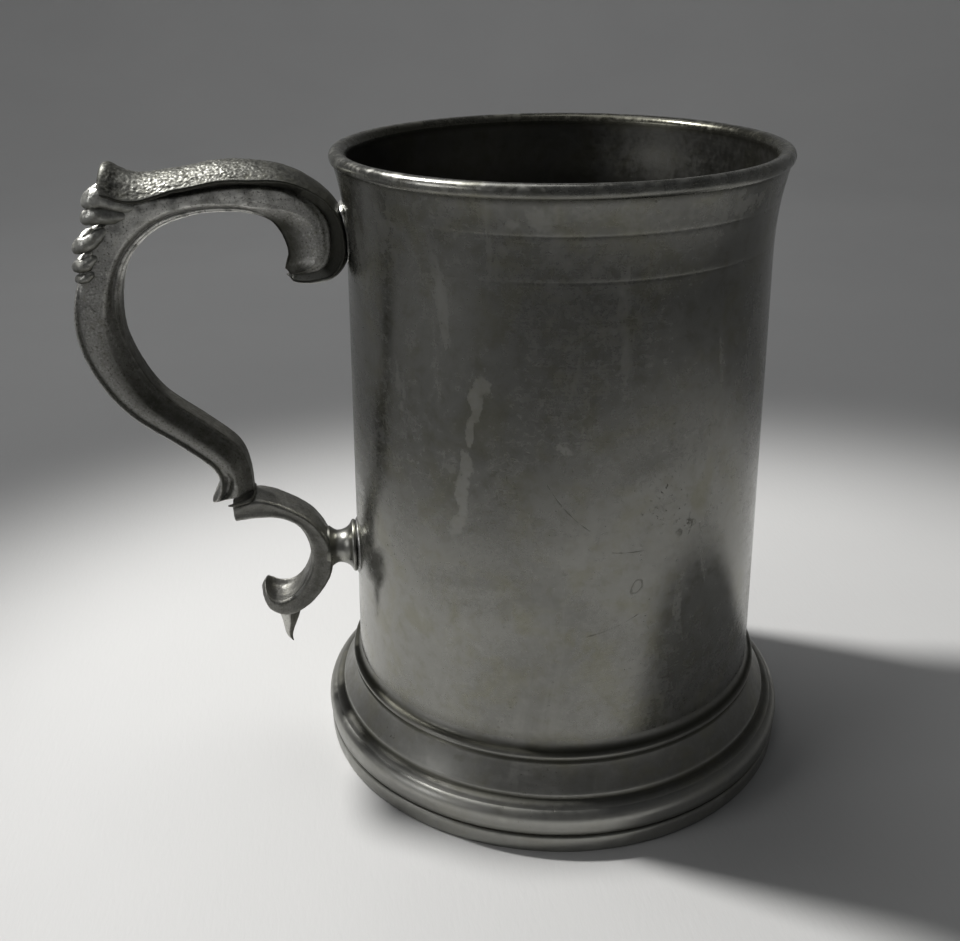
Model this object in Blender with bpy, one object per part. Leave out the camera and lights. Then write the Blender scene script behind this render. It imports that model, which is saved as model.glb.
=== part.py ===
"""A one-pint pewter tankard: a tapered drum on a stepped hollow foot, with a double-scroll cast handle.

Lengths are in millimetres until place() turns them into metres. The drum axis is parallel to Z and stands
at x = AXIS_X. The handle lies in the plane y = 0, on the -X side, so handle outlines are written as
(reach, z), where reach is the distance out from the drum axis.
"""
from math import cos, hypot, pi, radians, sin, sqrt

import bmesh
import bpy

MM = 0.001
GAP = 0.3  # clearance between touching pieces
RING_STEPS = 72  # facets round the drum and foot

# Drum
RIM_Z = 130.0
RIM_R = 44.65
BEAD_R = 1.15  # half the thickness of the rounded rim
MOUTH_R = RIM_R - 2 * BEAD_R
NECK_Z = 111.0  # foot of the flared lip, the narrowest place
NECK_R = 42.0
DRUM_FOOT_R = 44.0
WALL = 2.0

# Foot
SHOULDER_Z = 21.6  # top of the foot, where the drum stands on it
DRUM_Z = SHOULDER_Z + GAP
FOOT_R = 51.6
RIDGE_R = 51.85  # the widest moulding, just above the wire
WIRE_H = 4.0
WIRE_W = 2.2
FLOOR_T = 2.0
LEDGE_Z = 19.0
LEDGE_W = 1.8

# Handle
HANDLE_REACH = 95.0
LEAF_HALF = 6.4
NECK_HALF = 3.5
FLANGE_HALF = 5.5
SIDE_HALF = 4.8
GROOVE_HALF = 3.5
SCROLL_HALF = 4.4
CURL_HALF = 5.6
STRUT_Z = 45.2
STRUT_WAIST_R = 3.6
STRUT_FLANGE_R = 5.75
SOLDER_T = 0.4  # thinnest solder between two pieces

AXIS_X = (HANDLE_REACH - RIDGE_R) / 2  # puts the middle of the whole part at x = 0

PEWTER = (0.29, 0.288, 0.272)
DARK_PEWTER = (0.2, 0.2, 0.188)
BRIGHT_SOLDER = (0.56, 0.56, 0.54)


def clear_scene():
    for obj in list(bpy.data.objects):
        bpy.data.objects.remove(obj, do_unlink=True)


def metal(name, colour, roughness):
    mat = bpy.data.materials.new(name)
    mat.use_nodes = True
    shader = mat.node_tree.nodes["Principled BSDF"]
    shader.inputs["Base Color"].default_value = (*colour, 1.0)
    shader.inputs["Metallic"].default_value = 1.0
    shader.inputs["Roughness"].default_value = roughness
    return mat


def place(name, verts, faces, colour, roughness, sharp=35.0):
    """Makes one node from points measured from the drum axis, in mm."""
    mesh = bpy.data.meshes.new(name)
    mesh.from_pydata([((x + AXIS_X) * MM, y * MM, z * MM) for x, y, z in verts], [], faces)
    bm = bmesh.new()
    bm.from_mesh(mesh)
    bmesh.ops.recalc_face_normals(bm, faces=bm.faces)
    if bm.calc_volume(signed=True) < 0:
        bmesh.ops.reverse_faces(bm, faces=bm.faces)
    bm.to_mesh(mesh)
    bm.free()
    mesh.shade_smooth()
    mesh.set_sharp_from_angle(angle=radians(sharp))
    mesh.materials.append(metal(name + "_metal", colour, roughness))
    obj = bpy.data.objects.new(name, mesh)
    bpy.context.scene.collection.objects.link(obj)


def arc(centre, radius, start, end, steps):
    """Points on a circle, angles in degrees from the outward direction towards +Z."""
    found = []
    for i in range(steps + 1):
        a = radians(start + (end - start) * i / steps)
        found.append((centre[0] + radius * cos(a), centre[1] + radius * sin(a)))
    return found


def spline(keys, per_span):
    """A Catmull-Rom curve through the keys, with mirrored end tangents."""
    def mirror(a, b):
        return tuple(2 * p - q for p, q in zip(a, b))
    pts = [mirror(keys[0], keys[1]), *keys, mirror(keys[-1], keys[-2])]
    out = []
    for i in range(1, len(pts) - 2):
        p0, p1, p2, p3 = pts[i - 1:i + 3]
        for k in range(per_span):
            t = k / per_span
            out.append(tuple(
                0.5 * (2 * b + (c - a) * t + (2 * a - 5 * b + 4 * c - d) * t * t
                       + (3 * b - a - 3 * c + d) * t ** 3)
                for a, b, c, d in zip(p0, p1, p2, p3)))
    out.append(tuple(keys[-1]))
    return out


def blend(a, b, t):
    return a + (b - a) * t


def ramp(t, low, high):
    """0 below low, 1 above high, smooth between."""
    t = min(max((t - low) / (high - low), 0.0), 1.0)
    return t * t * (3 - 2 * t)


def ring(profile):
    """A closed (radius, z) outline turned about the drum axis."""
    verts, faces, n = [], [], len(profile)
    for i in range(RING_STEPS):
        a = 2 * pi * i / RING_STEPS
        verts += [(r * cos(a), r * sin(a), z) for r, z in profile]
    for i in range(RING_STEPS):
        j = (i + 1) % RING_STEPS
        for k in range(n):
            m = (k + 1) % n
            faces.append((i * n + k, j * n + k, j * n + m, i * n + m))
    return verts, faces


def turned(profile, steps):
    """A solid turned about an axis: the (radius, height) outline runs from one end face to the other."""
    verts, faces, n = [], [], len(profile)
    for i in range(steps):
        a = 2 * pi * i / steps
        verts += [(r * cos(a), r * sin(a), h) for r, h in profile]
    for i in range(steps):
        j = (i + 1) % steps
        for k in range(n - 1):
            faces.append((i * n + k, j * n + k, j * n + k + 1, i * n + k + 1))
    faces.append([i * n for i in range(steps)])
    faces.append([i * n + n - 1 for i in range(steps)])
    return verts, faces


def loft(sections):
    """A closed body through equal-length rings of points, with flat ends."""
    verts, faces, n = [], [], len(sections[0])
    for section in sections:
        verts += section
    for i in range(len(sections) - 1):
        for k in range(n):
            m = (k + 1) % n
            faces.append((i * n + k, i * n + m, (i + 1) * n + m, (i + 1) * n + k))
    faces.append(list(range(n)))
    faces.append([(len(sections) - 1) * n + k for k in range(n)])
    return verts, faces


def section_between(outer, inner, half_outline):
    """A section across the handle: half_outline holds (depth, half width), from the outer face inwards."""
    span = hypot(inner[0] - outer[0], inner[1] - outer[1])
    ux, uz = (inner[0] - outer[0]) / span, (inner[1] - outer[1]) / span
    half = [(outer[0] + ux * d, w, outer[1] + uz * d) for d, w in half_outline]
    return [(-r, -w, z) for r, w, z in half] + [(-r, w, z) for r, w, z in reversed(half)]


def drum_radius(z):
    """Outside radius of the drum: a straight taper, then a flared lip above NECK_Z."""
    if z <= NECK_Z:
        return blend(DRUM_FOOT_R, NECK_R, (z - DRUM_Z) / (NECK_Z - DRUM_Z))
    t = (z - NECK_Z) / (RIM_Z - 2.6 - NECK_Z)
    return NECK_R + (RIM_R - 0.75 - NECK_R) * t ** 2.3


def build_drum():
    outer = [(drum_radius(z), z) for z in (DRUM_Z, 50.0, 80.0, NECK_Z)]
    outer += [(drum_radius(z), z) for z in (114.5, 117.5, 120.0, 122.3, 124.4, 126.2, 127.2)]
    bead = arc((RIM_R - BEAD_R, RIM_Z - BEAD_R), BEAD_R, -40, 170, 9)
    inner = [(MOUTH_R - 0.35, 126.6), (41.0, 122.0), (NECK_R - WALL + 0.2, 116.0)]
    inner += [(drum_radius(z) - WALL, z) for z in (NECK_Z, 66.0, DRUM_Z)]
    place("drum", *ring(outer + bead + inner), PEWTER, 0.36)


def build_foot():
    """The hollow stepped skirt, the wire round its lower edge and the floor it carries."""
    outer = [(DRUM_FOOT_R, SHOULDER_Z)]
    outer += [(DRUM_FOOT_R + 1.25 * (1 - cos(a)), SHOULDER_Z - 2.1 * sin(a))
              for a in (radians(28), radians(56), radians(84))]
    outer += arc((DRUM_FOOT_R + 1.0, 18.6), 0.75, 40, -50, 3)
    outer += [(45.15, 17.75), (45.5, 17.3)]
    outer += [(45.5 + 2.75 * t ** 1.25, 17.3 - 5.5 * t) for t in (0.25, 0.5, 0.75, 1.0)]
    outer += [(48.35, 10.6), (50.3, 10.0)]
    outer += arc((RIDGE_R - 2.65, 7.2), 2.65, 66, 0, 4)
    outer += [(RIDGE_R - 0.1, 6.2), (FOOT_R, WIRE_H + 0.7), (FOOT_R - 0.4, WIRE_H + GAP)]
    inner = [(FOOT_R - WIRE_W + 0.2, WIRE_H + GAP), (49.4, 7.4), (46.6, 9.6), (46.0, 11.6), (43.4, 16.6)]
    inner += [(DRUM_FOOT_R - WALL - LEDGE_W, 17.2), (DRUM_FOOT_R - WALL - LEDGE_W, LEDGE_Z)]
    inner += [(DRUM_FOOT_R - WALL, LEDGE_Z), (DRUM_FOOT_R - WALL, SHOULDER_Z)]
    place("foot_skirt", *ring(outer + inner), PEWTER, 0.34)

    wire_in = FOOT_R - WIRE_W
    wire = [(wire_in, WIRE_H), (wire_in, 0.5), (wire_in + 0.5, 0.0), (FOOT_R - 0.6, 0.0)]
    wire += [(FOOT_R, 0.7), (FOOT_R, WIRE_H - 0.5), (FOOT_R - 0.4, WIRE_H)]
    place("foot_wire", *ring(wire), PEWTER, 0.36)

    floor_r = DRUM_FOOT_R - WALL - GAP
    low, high = LEDGE_Z + GAP, LEDGE_Z + GAP + FLOOR_T
    place("floor_disc", *turned([(floor_r, low), (floor_r, high)], RING_STEPS), DARK_PEWTER, 0.45)

    inside = drum_radius(high + 1.0) - WALL - GAP
    seam = [(inside, high + GAP), (inside, high + 1.5), (inside - 0.35, high + 0.85)]
    seam += [(inside - 1.2, high + GAP)]
    place("cup_seam_solder", *ring(seam), BRIGHT_SOLDER, 0.4)
    bore = DRUM_FOOT_R - WALL - LEDGE_W - GAP
    under = [(bore, low - GAP), (bore - 1.3, low - GAP), (bore - 0.4, low - 0.9), (bore, low - 1.6)]
    place("under_floor_solder", *ring(under), BRIGHT_SOLDER, 0.4)


# Upper scroll: matching places on its outer and inner outlines, from the volute beside the drum, over the
# top, round the back and down to the flick at its lower end.
SCROLL_OUTER = [
    (53.2, 106.5), (46.1, 108.4), (45.3, 117.2), (51.4, 123.3), (61.0, 124.9), (71.0, 124.1), (82.3, 122.4),
    (90.0, 115.2), (94.6, 102.5), (93.8, 91.5), (87.6, 80.6), (77.4, 72.3), (71.6, 66.8), (71.3, 62.4),
    (73.2, 58.9)]
SCROLL_INNER = [
    (54.3, 107.4), (53.4, 111.6), (55.6, 116.6), (60.0, 118.7), (65.6, 119.2), (71.8, 118.5), (78.6, 115.7),
    (83.9, 110.0), (86.2, 102.0), (85.6, 93.5), (80.8, 83.8), (72.6, 76.8), (66.6, 71.2), (64.7, 65.6),
    (64.4, 60.2)]
FLANGE_FROM, FLANGE_FULL = 0.39, 0.46  # where along the scroll the neck under the leaf becomes a flange


def build_upper_scroll():
    outer, inner = spline(SCROLL_OUTER, 5), spline(SCROLL_INNER, 5)
    root = GROOVE_HALF
    sections = []
    for i, (o, n) in enumerate(zip(outer, inner)):
        t = i / (len(outer) - 1)
        depth = hypot(n[0] - o[0], n[1] - o[1])
        scale = min(depth / 6.0, 1.0)
        edge = blend(NECK_HALF, FLANGE_HALF, ramp(t, FLANGE_FROM, FLANGE_FULL))
        half = [(0.0, edge - 0.3), (0.3 * scale, edge), (scale, edge), (1.25 * scale, root)]
        half += [(1.6 * scale, root), (1.9 * scale, SIDE_HALF), (depth - 2.1 * scale, SIDE_HALF)]
        half += [(depth - 0.7 * scale, 3.6), (depth, 2.4)]
        sections.append(section_between(o, n, half))
    place("upper_scroll", *loft(sections), DARK_PEWTER, 0.42)


# Thumb leaf: its crown line from the upturned lip, over the top, down beside the drum and round the volute.
LEAF_CROWN = [
    (86.9, 129.0), (84.4, 127.8), (79.7, 126.7), (72.2, 127.5), (64.8, 128.6), (57.4, 128.2), (51.0, 126.4),
    (45.8, 122.2), (43.3, 117.5), (43.0, 112.4), (44.5, 107.4), (48.2, 105.2), (53.3, 105.3)]
LEAF_SPANS = 7  # how many spans of the scroll's outer outline lie under the leaf


def build_thumb_leaf():
    crown = spline(LEAF_CROWN, 6)
    bed = spline(SCROLL_OUTER[:LEAF_SPANS + 1], 30)
    last = len(crown) - 1
    sections = []
    for i, (r, z) in enumerate(crown):
        t = i / last
        under = min(bed, key=lambda p: hypot(p[0] - r, p[1] - z))
        room = hypot(under[0] - r, under[1] - z) - GAP
        tongue = sqrt(max(1 - (1 - min((t * last + 1.2) / 6.0, 1.0)) ** 2, 0.05))
        width = LEAF_HALF * tongue * blend(1.0, 0.72, ramp(t, 0.5, 0.95))
        side = ramp(t, 0.45, 0.68)
        dome = blend(2.3, 0.5, side) * blend(0.25, 1.0, ramp(t, 0.0, 0.16))
        thick = min(room, blend(dome + 0.9, 4.0, ramp(t, 0.1, 0.3)))
        half = [(dome * (w / 4.0) ** 2, width * w / 4.0) for w in (0.5, 1.5, 2.5, 3.4, 4.0)]
        half += [(dome + 0.55, width), (thick, width * 0.9), (thick, width * 0.3)]
        sections.append(section_between((r, z), under, half))
    place("thumb_leaf", *loft(sections), DARK_PEWTER, 0.5)


# Lower scroll: from its blunt start under the upper scroll, over and down past the strut, into the curl.
LOWER_OUTER = [
    (69.2, 57.7), (64.0, 59.3), (58.6, 57.6), (53.2, 54.0), (50.2, 49.8), (49.0, 45.4), (49.3, 40.8),
    (51.6, 36.4), (55.2, 32.9), (59.4, 31.4), (63.2, 33.2), (65.0, 36.6)]
LOWER_INNER = [
    (69.1, 54.3), (64.6, 54.7), (60.0, 54.5), (56.2, 52.6), (54.2, 49.4), (53.6, 45.6), (54.2, 41.6),
    (55.8, 38.4), (58.0, 36.2), (60.6, 35.4), (62.7, 36.0), (64.1, 37.7)]


def build_lower_scroll():
    outer, inner = spline(LOWER_OUTER, 5), spline(LOWER_INNER, 5)
    last = len(outer) - 1
    sections = []
    for i, (o, n) in enumerate(zip(outer, inner)):
        t = i / last
        depth = hypot(n[0] - o[0], n[1] - o[1])
        width = blend(SCROLL_HALF, CURL_HALF, ramp(t, 0.6, 0.9)) * (1 - 0.3 * ramp(t, 0.93, 1.0))
        edge = min(1.2, depth * 0.35)
        half = [(0.0, width - 0.8), (0.5 * edge, width - 0.2), (0.8 * edge, width)]
        half += [(depth - edge, width), (depth - 0.3 * edge, width - 0.8), (depth, width - 1.6)]
        sections.append(section_between(o, n, half))
    place("lower_scroll", *loft(sections), DARK_PEWTER, 0.42)


# Drop: a ridged leaf tip hanging under the curl, as (reach, z, half its length fore and aft, half width).
DROP = [
    (59.5, 31.0, 1.4, 1.3), (59.5, 29.8, 2.15, 2.1), (59.6, 28.4, 2.0, 2.2), (60.0, 26.6, 1.4, 1.7),
    (60.2, 24.6, 0.85, 0.9), (60.0, 22.2, 0.18, 0.2)]


def build_drop():
    sections = []
    for r, z, fore, wide in spline(DROP, 3):
        f, w = 0.45 * fore, 0.62 * wide
        ridged = [(fore, 0.0), (f, w), (0.0, wide), (-f, w), (-fore, 0.0), (-f, -w), (0.0, -wide), (f, -w)]
        sections.append([(-(r + a), b, z) for a, b in ridged])
    place("drop_finial", *loft(sections), DARK_PEWTER, 0.42, sharp=50.0)


def build_strut():
    """The trumpet-shaped strut that stands the lower scroll off the drum, and the solder under its flange."""
    face = drum_radius(STRUT_Z) + 2 * GAP + SOLDER_T
    neck = 47.4
    profile = [(STRUT_FLANGE_R - 0.35, face), (STRUT_FLANGE_R, face + 0.25)]
    profile += [(STRUT_FLANGE_R - 0.1, face + 0.6)]
    for k in range(1, 9):
        t = k / 8
        profile.append((blend(STRUT_FLANGE_R - 0.5, STRUT_WAIST_R, sin(t * pi / 2) ** 0.8),
                        blend(face + 0.75, neck, t ** 1.3)))
    profile += [(STRUT_WAIST_R + 0.1, 48.0), (STRUT_WAIST_R + 0.5, 48.6)]
    verts, faces = turned(profile, 40)
    place("strut", [(-h, a, STRUT_Z + b) for a, b, h in verts], faces, PEWTER, 0.3)

    bed = drum_radius(STRUT_Z) + GAP
    saddle("strut_solder", STRUT_Z, bed, (2.4, 4.4, STRUT_FLANGE_R - 0.15), face - GAP)


def saddle(name, z_mid, bed, radii, top):
    """A round pad on the drum: its inner face follows the wall, its outer face is flat."""
    steps = 32
    verts = [(-bed, 0.0, z_mid), (-top, 0.0, z_mid)]
    faces = []
    for r in radii:
        for i in range(steps):
            a = 2 * pi * i / steps
            y, z = r * cos(a), z_mid + r * sin(a)
            verts.append((-sqrt(bed * bed - y * y), y, z))
            verts.append((-top, y, z))
    last = len(radii) - 1

    def at(row, i, side):
        return 2 + (row * steps + i % steps) * 2 + side

    for i in range(steps):
        faces.append((0, at(0, i, 0), at(0, i + 1, 0)))
        faces.append((1, at(0, i + 1, 1), at(0, i, 1)))
        for row in range(last):
            for side in (0, 1):
                near, far = at(row, i, side), at(row, i + 1, side)
                faces.append((near, at(row + 1, i, side), at(row + 1, i + 1, side), far))
        faces.append((at(last, i, 0), at(last, i, 1), at(last, i + 1, 1), at(last, i + 1, 0)))
    place(name, verts, faces, BRIGHT_SOLDER, 0.35)


# Back lobes: leaf tips that overlap down the back under the lip, as (reach, z, half width) from the top.
LOBES = [
    (85.6, 125.6, 4.3), (87.6, 124.5, 5.1), (89.3, 123.6, 5.4), (90.0, 122.5, 5.2), (88.9, 121.3, 4.3),
    (90.1, 120.9, 4.9), (91.3, 119.2, 5.2), (91.3, 117.6, 4.9), (90.6, 116.8, 4.2), (91.9, 115.9, 4.6),
    (93.5, 114.1, 4.9), (94.2, 112.5, 4.6), (93.3, 111.4, 3.8), (94.2, 110.8, 4.0), (94.5, 109.6, 3.8),
    (94.0, 108.2, 3.0)]
LOBES_START = (83.0, 122.6)  # their foot on the scroll, under the lip
LOBES_END = (93.9, 107.4)


def build_back_lobes():
    path = spline(SCROLL_OUTER, 12)

    def nearest(point):
        return min(range(len(path)), key=lambda k: hypot(path[k][0] - point[0], path[k][1] - point[1]))
    first, end = nearest(LOBES_START), nearest(LOBES_END)
    sections = []
    for i, (r, z, width) in enumerate(LOBES):
        k = first + round((end - first) * i / (len(LOBES) - 1))
        a, b = path[k - 1], path[k + 1]
        size = hypot(b[0] - a[0], b[1] - a[1])
        out = (-(b[1] - a[1]) / size, (b[0] - a[0]) / size)
        foot = (path[k][0] + out[0] * GAP, path[k][1] + out[1] * GAP)
        depth = hypot(r - foot[0], z - foot[1])
        half = [(depth * 0.75 * w * w, width * w) for w in (0.15, 0.45, 0.75, 1.0)]
        half += [(depth * 0.9, width), (depth, width - 0.3), (depth, 0.3 * width)]
        sections.append(section_between((r, z), foot, half))
    place("back_lobes", *loft(sections), PEWTER, 0.36)


def build_handle_solder():
    """The solder that holds the handle: a pad between leaf and drum, and a wedge between the scrolls."""
    rows = [(109.6, 0.3), (110.4, SOLDER_T), (113.0, SOLDER_T), (116.6, 0.45), (118.2, 0.75), (119.2, 0.45)]
    sections = []
    for y, part in ((-3.4, 0.5), (-3.1, 1.0), (-1.6, 1.0), (0.0, 1.0), (1.6, 1.0), (3.1, 1.0), (3.4, 0.5)):
        bed = [(sqrt((drum_radius(z) + GAP) ** 2 - y * y), z, thick * part) for z, thick in rows]
        section = [(-r, y, z) for r, z, _ in bed]
        section += [(-(r + thick), y, z) for r, z, thick in reversed(bed)]
        sections.append(section)
    place("upper_joint_solder", *loft(sections), BRIGHT_SOLDER, 0.3)

    wedge = [(68.7, 58.2), (68.7, 59.2), (64.7, 59.8), (64.7, 59.45)]
    sections = [[(-r, y, z) for r, z in wedge] for y in (-4.0, 4.0)]
    place("scroll_joint_solder", *loft(sections), BRIGHT_SOLDER, 0.35)


clear_scene()
build_drum()
build_foot()
build_upper_scroll()
build_thumb_leaf()
build_lower_scroll()
build_drop()
build_strut()
build_back_lobes()
build_handle_solder()
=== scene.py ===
"""The looks of the pewter tankard: cast and turned detail and tarnished pewter, round the CAD frame.

Lengths are in millimetres until piece() turns them into metres. The drum axis stands at x = AXIS_X. The
handle lies on the -X side in the plane y = 0, so its outlines are (reach, z): distance out from the axis,
and height.
"""
from math import atan2, cos, hypot, pi, radians, sin, sqrt

import bmesh
import bpy
import numpy as np
from mathutils import Matrix, Vector, noise


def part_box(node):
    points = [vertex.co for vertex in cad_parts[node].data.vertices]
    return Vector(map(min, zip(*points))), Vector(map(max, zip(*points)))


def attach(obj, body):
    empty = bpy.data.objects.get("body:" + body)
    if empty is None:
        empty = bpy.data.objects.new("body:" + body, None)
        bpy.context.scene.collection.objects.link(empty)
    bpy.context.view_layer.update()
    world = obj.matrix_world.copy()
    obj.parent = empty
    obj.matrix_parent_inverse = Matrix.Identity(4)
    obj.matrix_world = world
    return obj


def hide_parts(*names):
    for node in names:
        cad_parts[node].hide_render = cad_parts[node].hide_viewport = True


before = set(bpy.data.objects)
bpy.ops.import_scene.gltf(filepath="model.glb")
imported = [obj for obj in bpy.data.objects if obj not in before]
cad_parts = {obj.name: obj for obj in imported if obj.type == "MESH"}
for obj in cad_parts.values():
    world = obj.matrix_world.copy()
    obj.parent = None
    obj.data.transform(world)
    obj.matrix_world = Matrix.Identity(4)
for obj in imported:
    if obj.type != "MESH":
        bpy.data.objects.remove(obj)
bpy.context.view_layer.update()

MM = 0.001
DRUM_LOW, DRUM_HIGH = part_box("drum")
AXIS_X = (DRUM_LOW.x + DRUM_HIGH.x) / 2 / MM
RIM_Z = DRUM_HIGH.z / MM
RIM_R = (DRUM_HIGH.x - DRUM_LOW.x) / 2 / MM
RIDGE_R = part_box("foot_skirt")[1].y / MM

BEAD_R = 1.4
NECK_Z = 111.0
NECK_R = 42.0
DRUM_FOOT_R = 44.0
WALL = 2.0
SHOULDER_Z = 21.6
WIRE_TOP = 4.0
WIRE_BORE = 49.4
FOOT_BORE = 40.2
FLOOR_R = 42.0
LEDGE_Z = 19.0
FLOOR_TOP = 21.3
STRUT_Z = 45.2
STRUT_FLANGE_R = 5.75
STRUT_WAIST_R = 3.6

LEAF_HALF = 6.4
SIDE_HALF = 4.8
SCROLL_HALF = 4.4
CURL_HALF = 5.6


# ---- curves and meshes

def blend(a, b, t):
    return a + (b - a) * t


def ramp(t, low, high):
    """0 below low, 1 above high, smooth between. Works on numbers and arrays."""
    t = np.clip((t - low) / (high - low), 0.0, 1.0)
    return t * t * (3 - 2 * t)


def bump_at(t, middle, width):
    """A smooth hump of height 1."""
    return np.exp(-((t - middle) / width) ** 2)


def arc(centre, radius, start, end, steps):
    angles = [radians(start + (end - start) * i / steps) for i in range(steps + 1)]
    return [(centre[0] + radius * cos(a), centre[1] + radius * sin(a)) for a in angles]


def spline(keys, per_span):
    """A Catmull-Rom curve through the keys, with mirrored end tangents."""
    keys = np.array(keys, float)
    pts = np.vstack([2 * keys[0] - keys[1], keys, 2 * keys[-1] - keys[-2]])
    out = []
    for i in range(1, len(pts) - 2):
        p0, p1, p2, p3 = pts[i - 1:i + 3]
        for k in range(per_span):
            t = k / per_span
            out.append(0.5 * (2 * p1 + (p2 - p0) * t + (2 * p0 - 5 * p1 + 4 * p2 - p3) * t * t
                              + (3 * p1 - p0 - 3 * p2 + p3) * t ** 3))
    out.append(keys[-1])
    return np.array(out)


def eased(path, reach):
    """The path with small kinks averaged out over this many neighbours each way, its ends kept."""
    weights = np.exp(-(np.arange(-reach, reach + 1) / (0.5 * reach)) ** 2)
    weights /= weights.sum()
    first = 2 * path[0] - path[reach:0:-1]
    after = 2 * path[-1] - path[-2:-reach - 2:-1]
    padded = np.vstack([first, path, after])
    return np.stack([np.convolve(padded[:, k], weights, "valid") for k in range(path.shape[1])], -1)


def softened(points, times):
    """The open outline with its corners cut, ends kept."""
    pts = np.array(points, float)
    for _ in range(times):
        a, b = pts[:-1], pts[1:]
        cut = np.empty((2 * len(a), pts.shape[1]))
        cut[0::2], cut[1::2] = 0.75 * a + 0.25 * b, 0.25 * a + 0.75 * b
        pts = np.vstack([pts[:1], cut, pts[-1:]])
    return pts


def grid_faces(rows, cols, wrap_rows, wrap_cols):
    i = np.arange(rows if wrap_rows else rows - 1)[:, None]
    k = np.arange(cols if wrap_cols else cols - 1)[None, :]
    j, m = (i + 1) % rows, (k + 1) % cols
    quads = np.stack([i * cols + k, j * cols + k, j * cols + m, i * cols + m], -1)
    return quads.reshape(-1, 4).tolist()


def linked(name, data):
    """A new object in the scene that shows this mesh, lamp or camera."""
    obj = bpy.data.objects.new(name, data)
    bpy.context.scene.collection.objects.link(obj)
    return obj


def piece(name, parts, material, stands_for, sharp):
    """One shown piece from (points, faces) parts in mm from the drum axis; it rides on the one body."""
    verts, faces = [], []
    for points, part_faces in parts:
        base = len(verts)
        points = (np.array(points, float) + (AXIS_X, 0, 0)) * MM
        verts += points.tolist()
        faces += [[base + v for v in face] for face in part_faces]
    mesh = bpy.data.meshes.new(name)
    mesh.from_pydata(verts, [], faces)
    bm = bmesh.new()
    bm.from_mesh(mesh)
    bmesh.ops.recalc_face_normals(bm, faces=bm.faces)
    if bm.calc_volume(signed=True) < 0:
        bmesh.ops.reverse_faces(bm, faces=bm.faces)
    bm.to_mesh(mesh)
    bm.free()
    mesh.shade_smooth()
    mesh.set_sharp_from_angle(angle=radians(sharp))
    mesh.materials.append(material)
    obj = linked(name, mesh)
    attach(obj, "root")
    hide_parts(*stands_for)
    return obj


def local_points(obj):
    """The piece's points in mm from the drum axis, and its normals."""
    co = np.empty(len(obj.data.vertices) * 3)
    obj.data.vertices.foreach_get("co", co)
    normals = np.array([v.vector for v in obj.data.vertex_normals])
    return co.reshape(-1, 3) / MM - (AXIS_X, 0, 0), normals


def axis_distance(co):
    return np.hypot(co[:, 0], co[:, 1])


def push(obj, amount):
    """Moves each point along its normal by amount, in mm."""
    co, normals = local_points(obj)
    co = (co + normals * np.asarray(amount)[:, None] + (AXIS_X, 0, 0)) * MM
    obj.data.vertices.foreach_set("co", co.ravel())
    obj.data.update()


def mark(obj, name, values):
    """A value at each point that the piece's material reads."""
    layer = obj.data.attributes.new(name, "FLOAT", "POINT")
    layer.data.foreach_set("value", np.asarray(values, np.float32))


def rough(points, size, seed):
    """Smooth noise from about -1 to 1, with features of about this size in mm."""
    offset = Vector((seed * 17.3, seed * 5.1, seed * 9.7))
    return np.array([noise.noise(Vector(p) / size + offset) for p in points])


def pebbles(points, size, seed):
    """How far each point is into a pebble, from 0 on the lines between pebbles to 1."""
    offset = Vector((seed, seed, seed))
    found = np.array([noise.voronoi(Vector(p) / size + offset)[0][:2] for p in points])
    return np.clip((found[:, 1] - found[:, 0]) * 1.6, 0, 1)


# ---- materials


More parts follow.
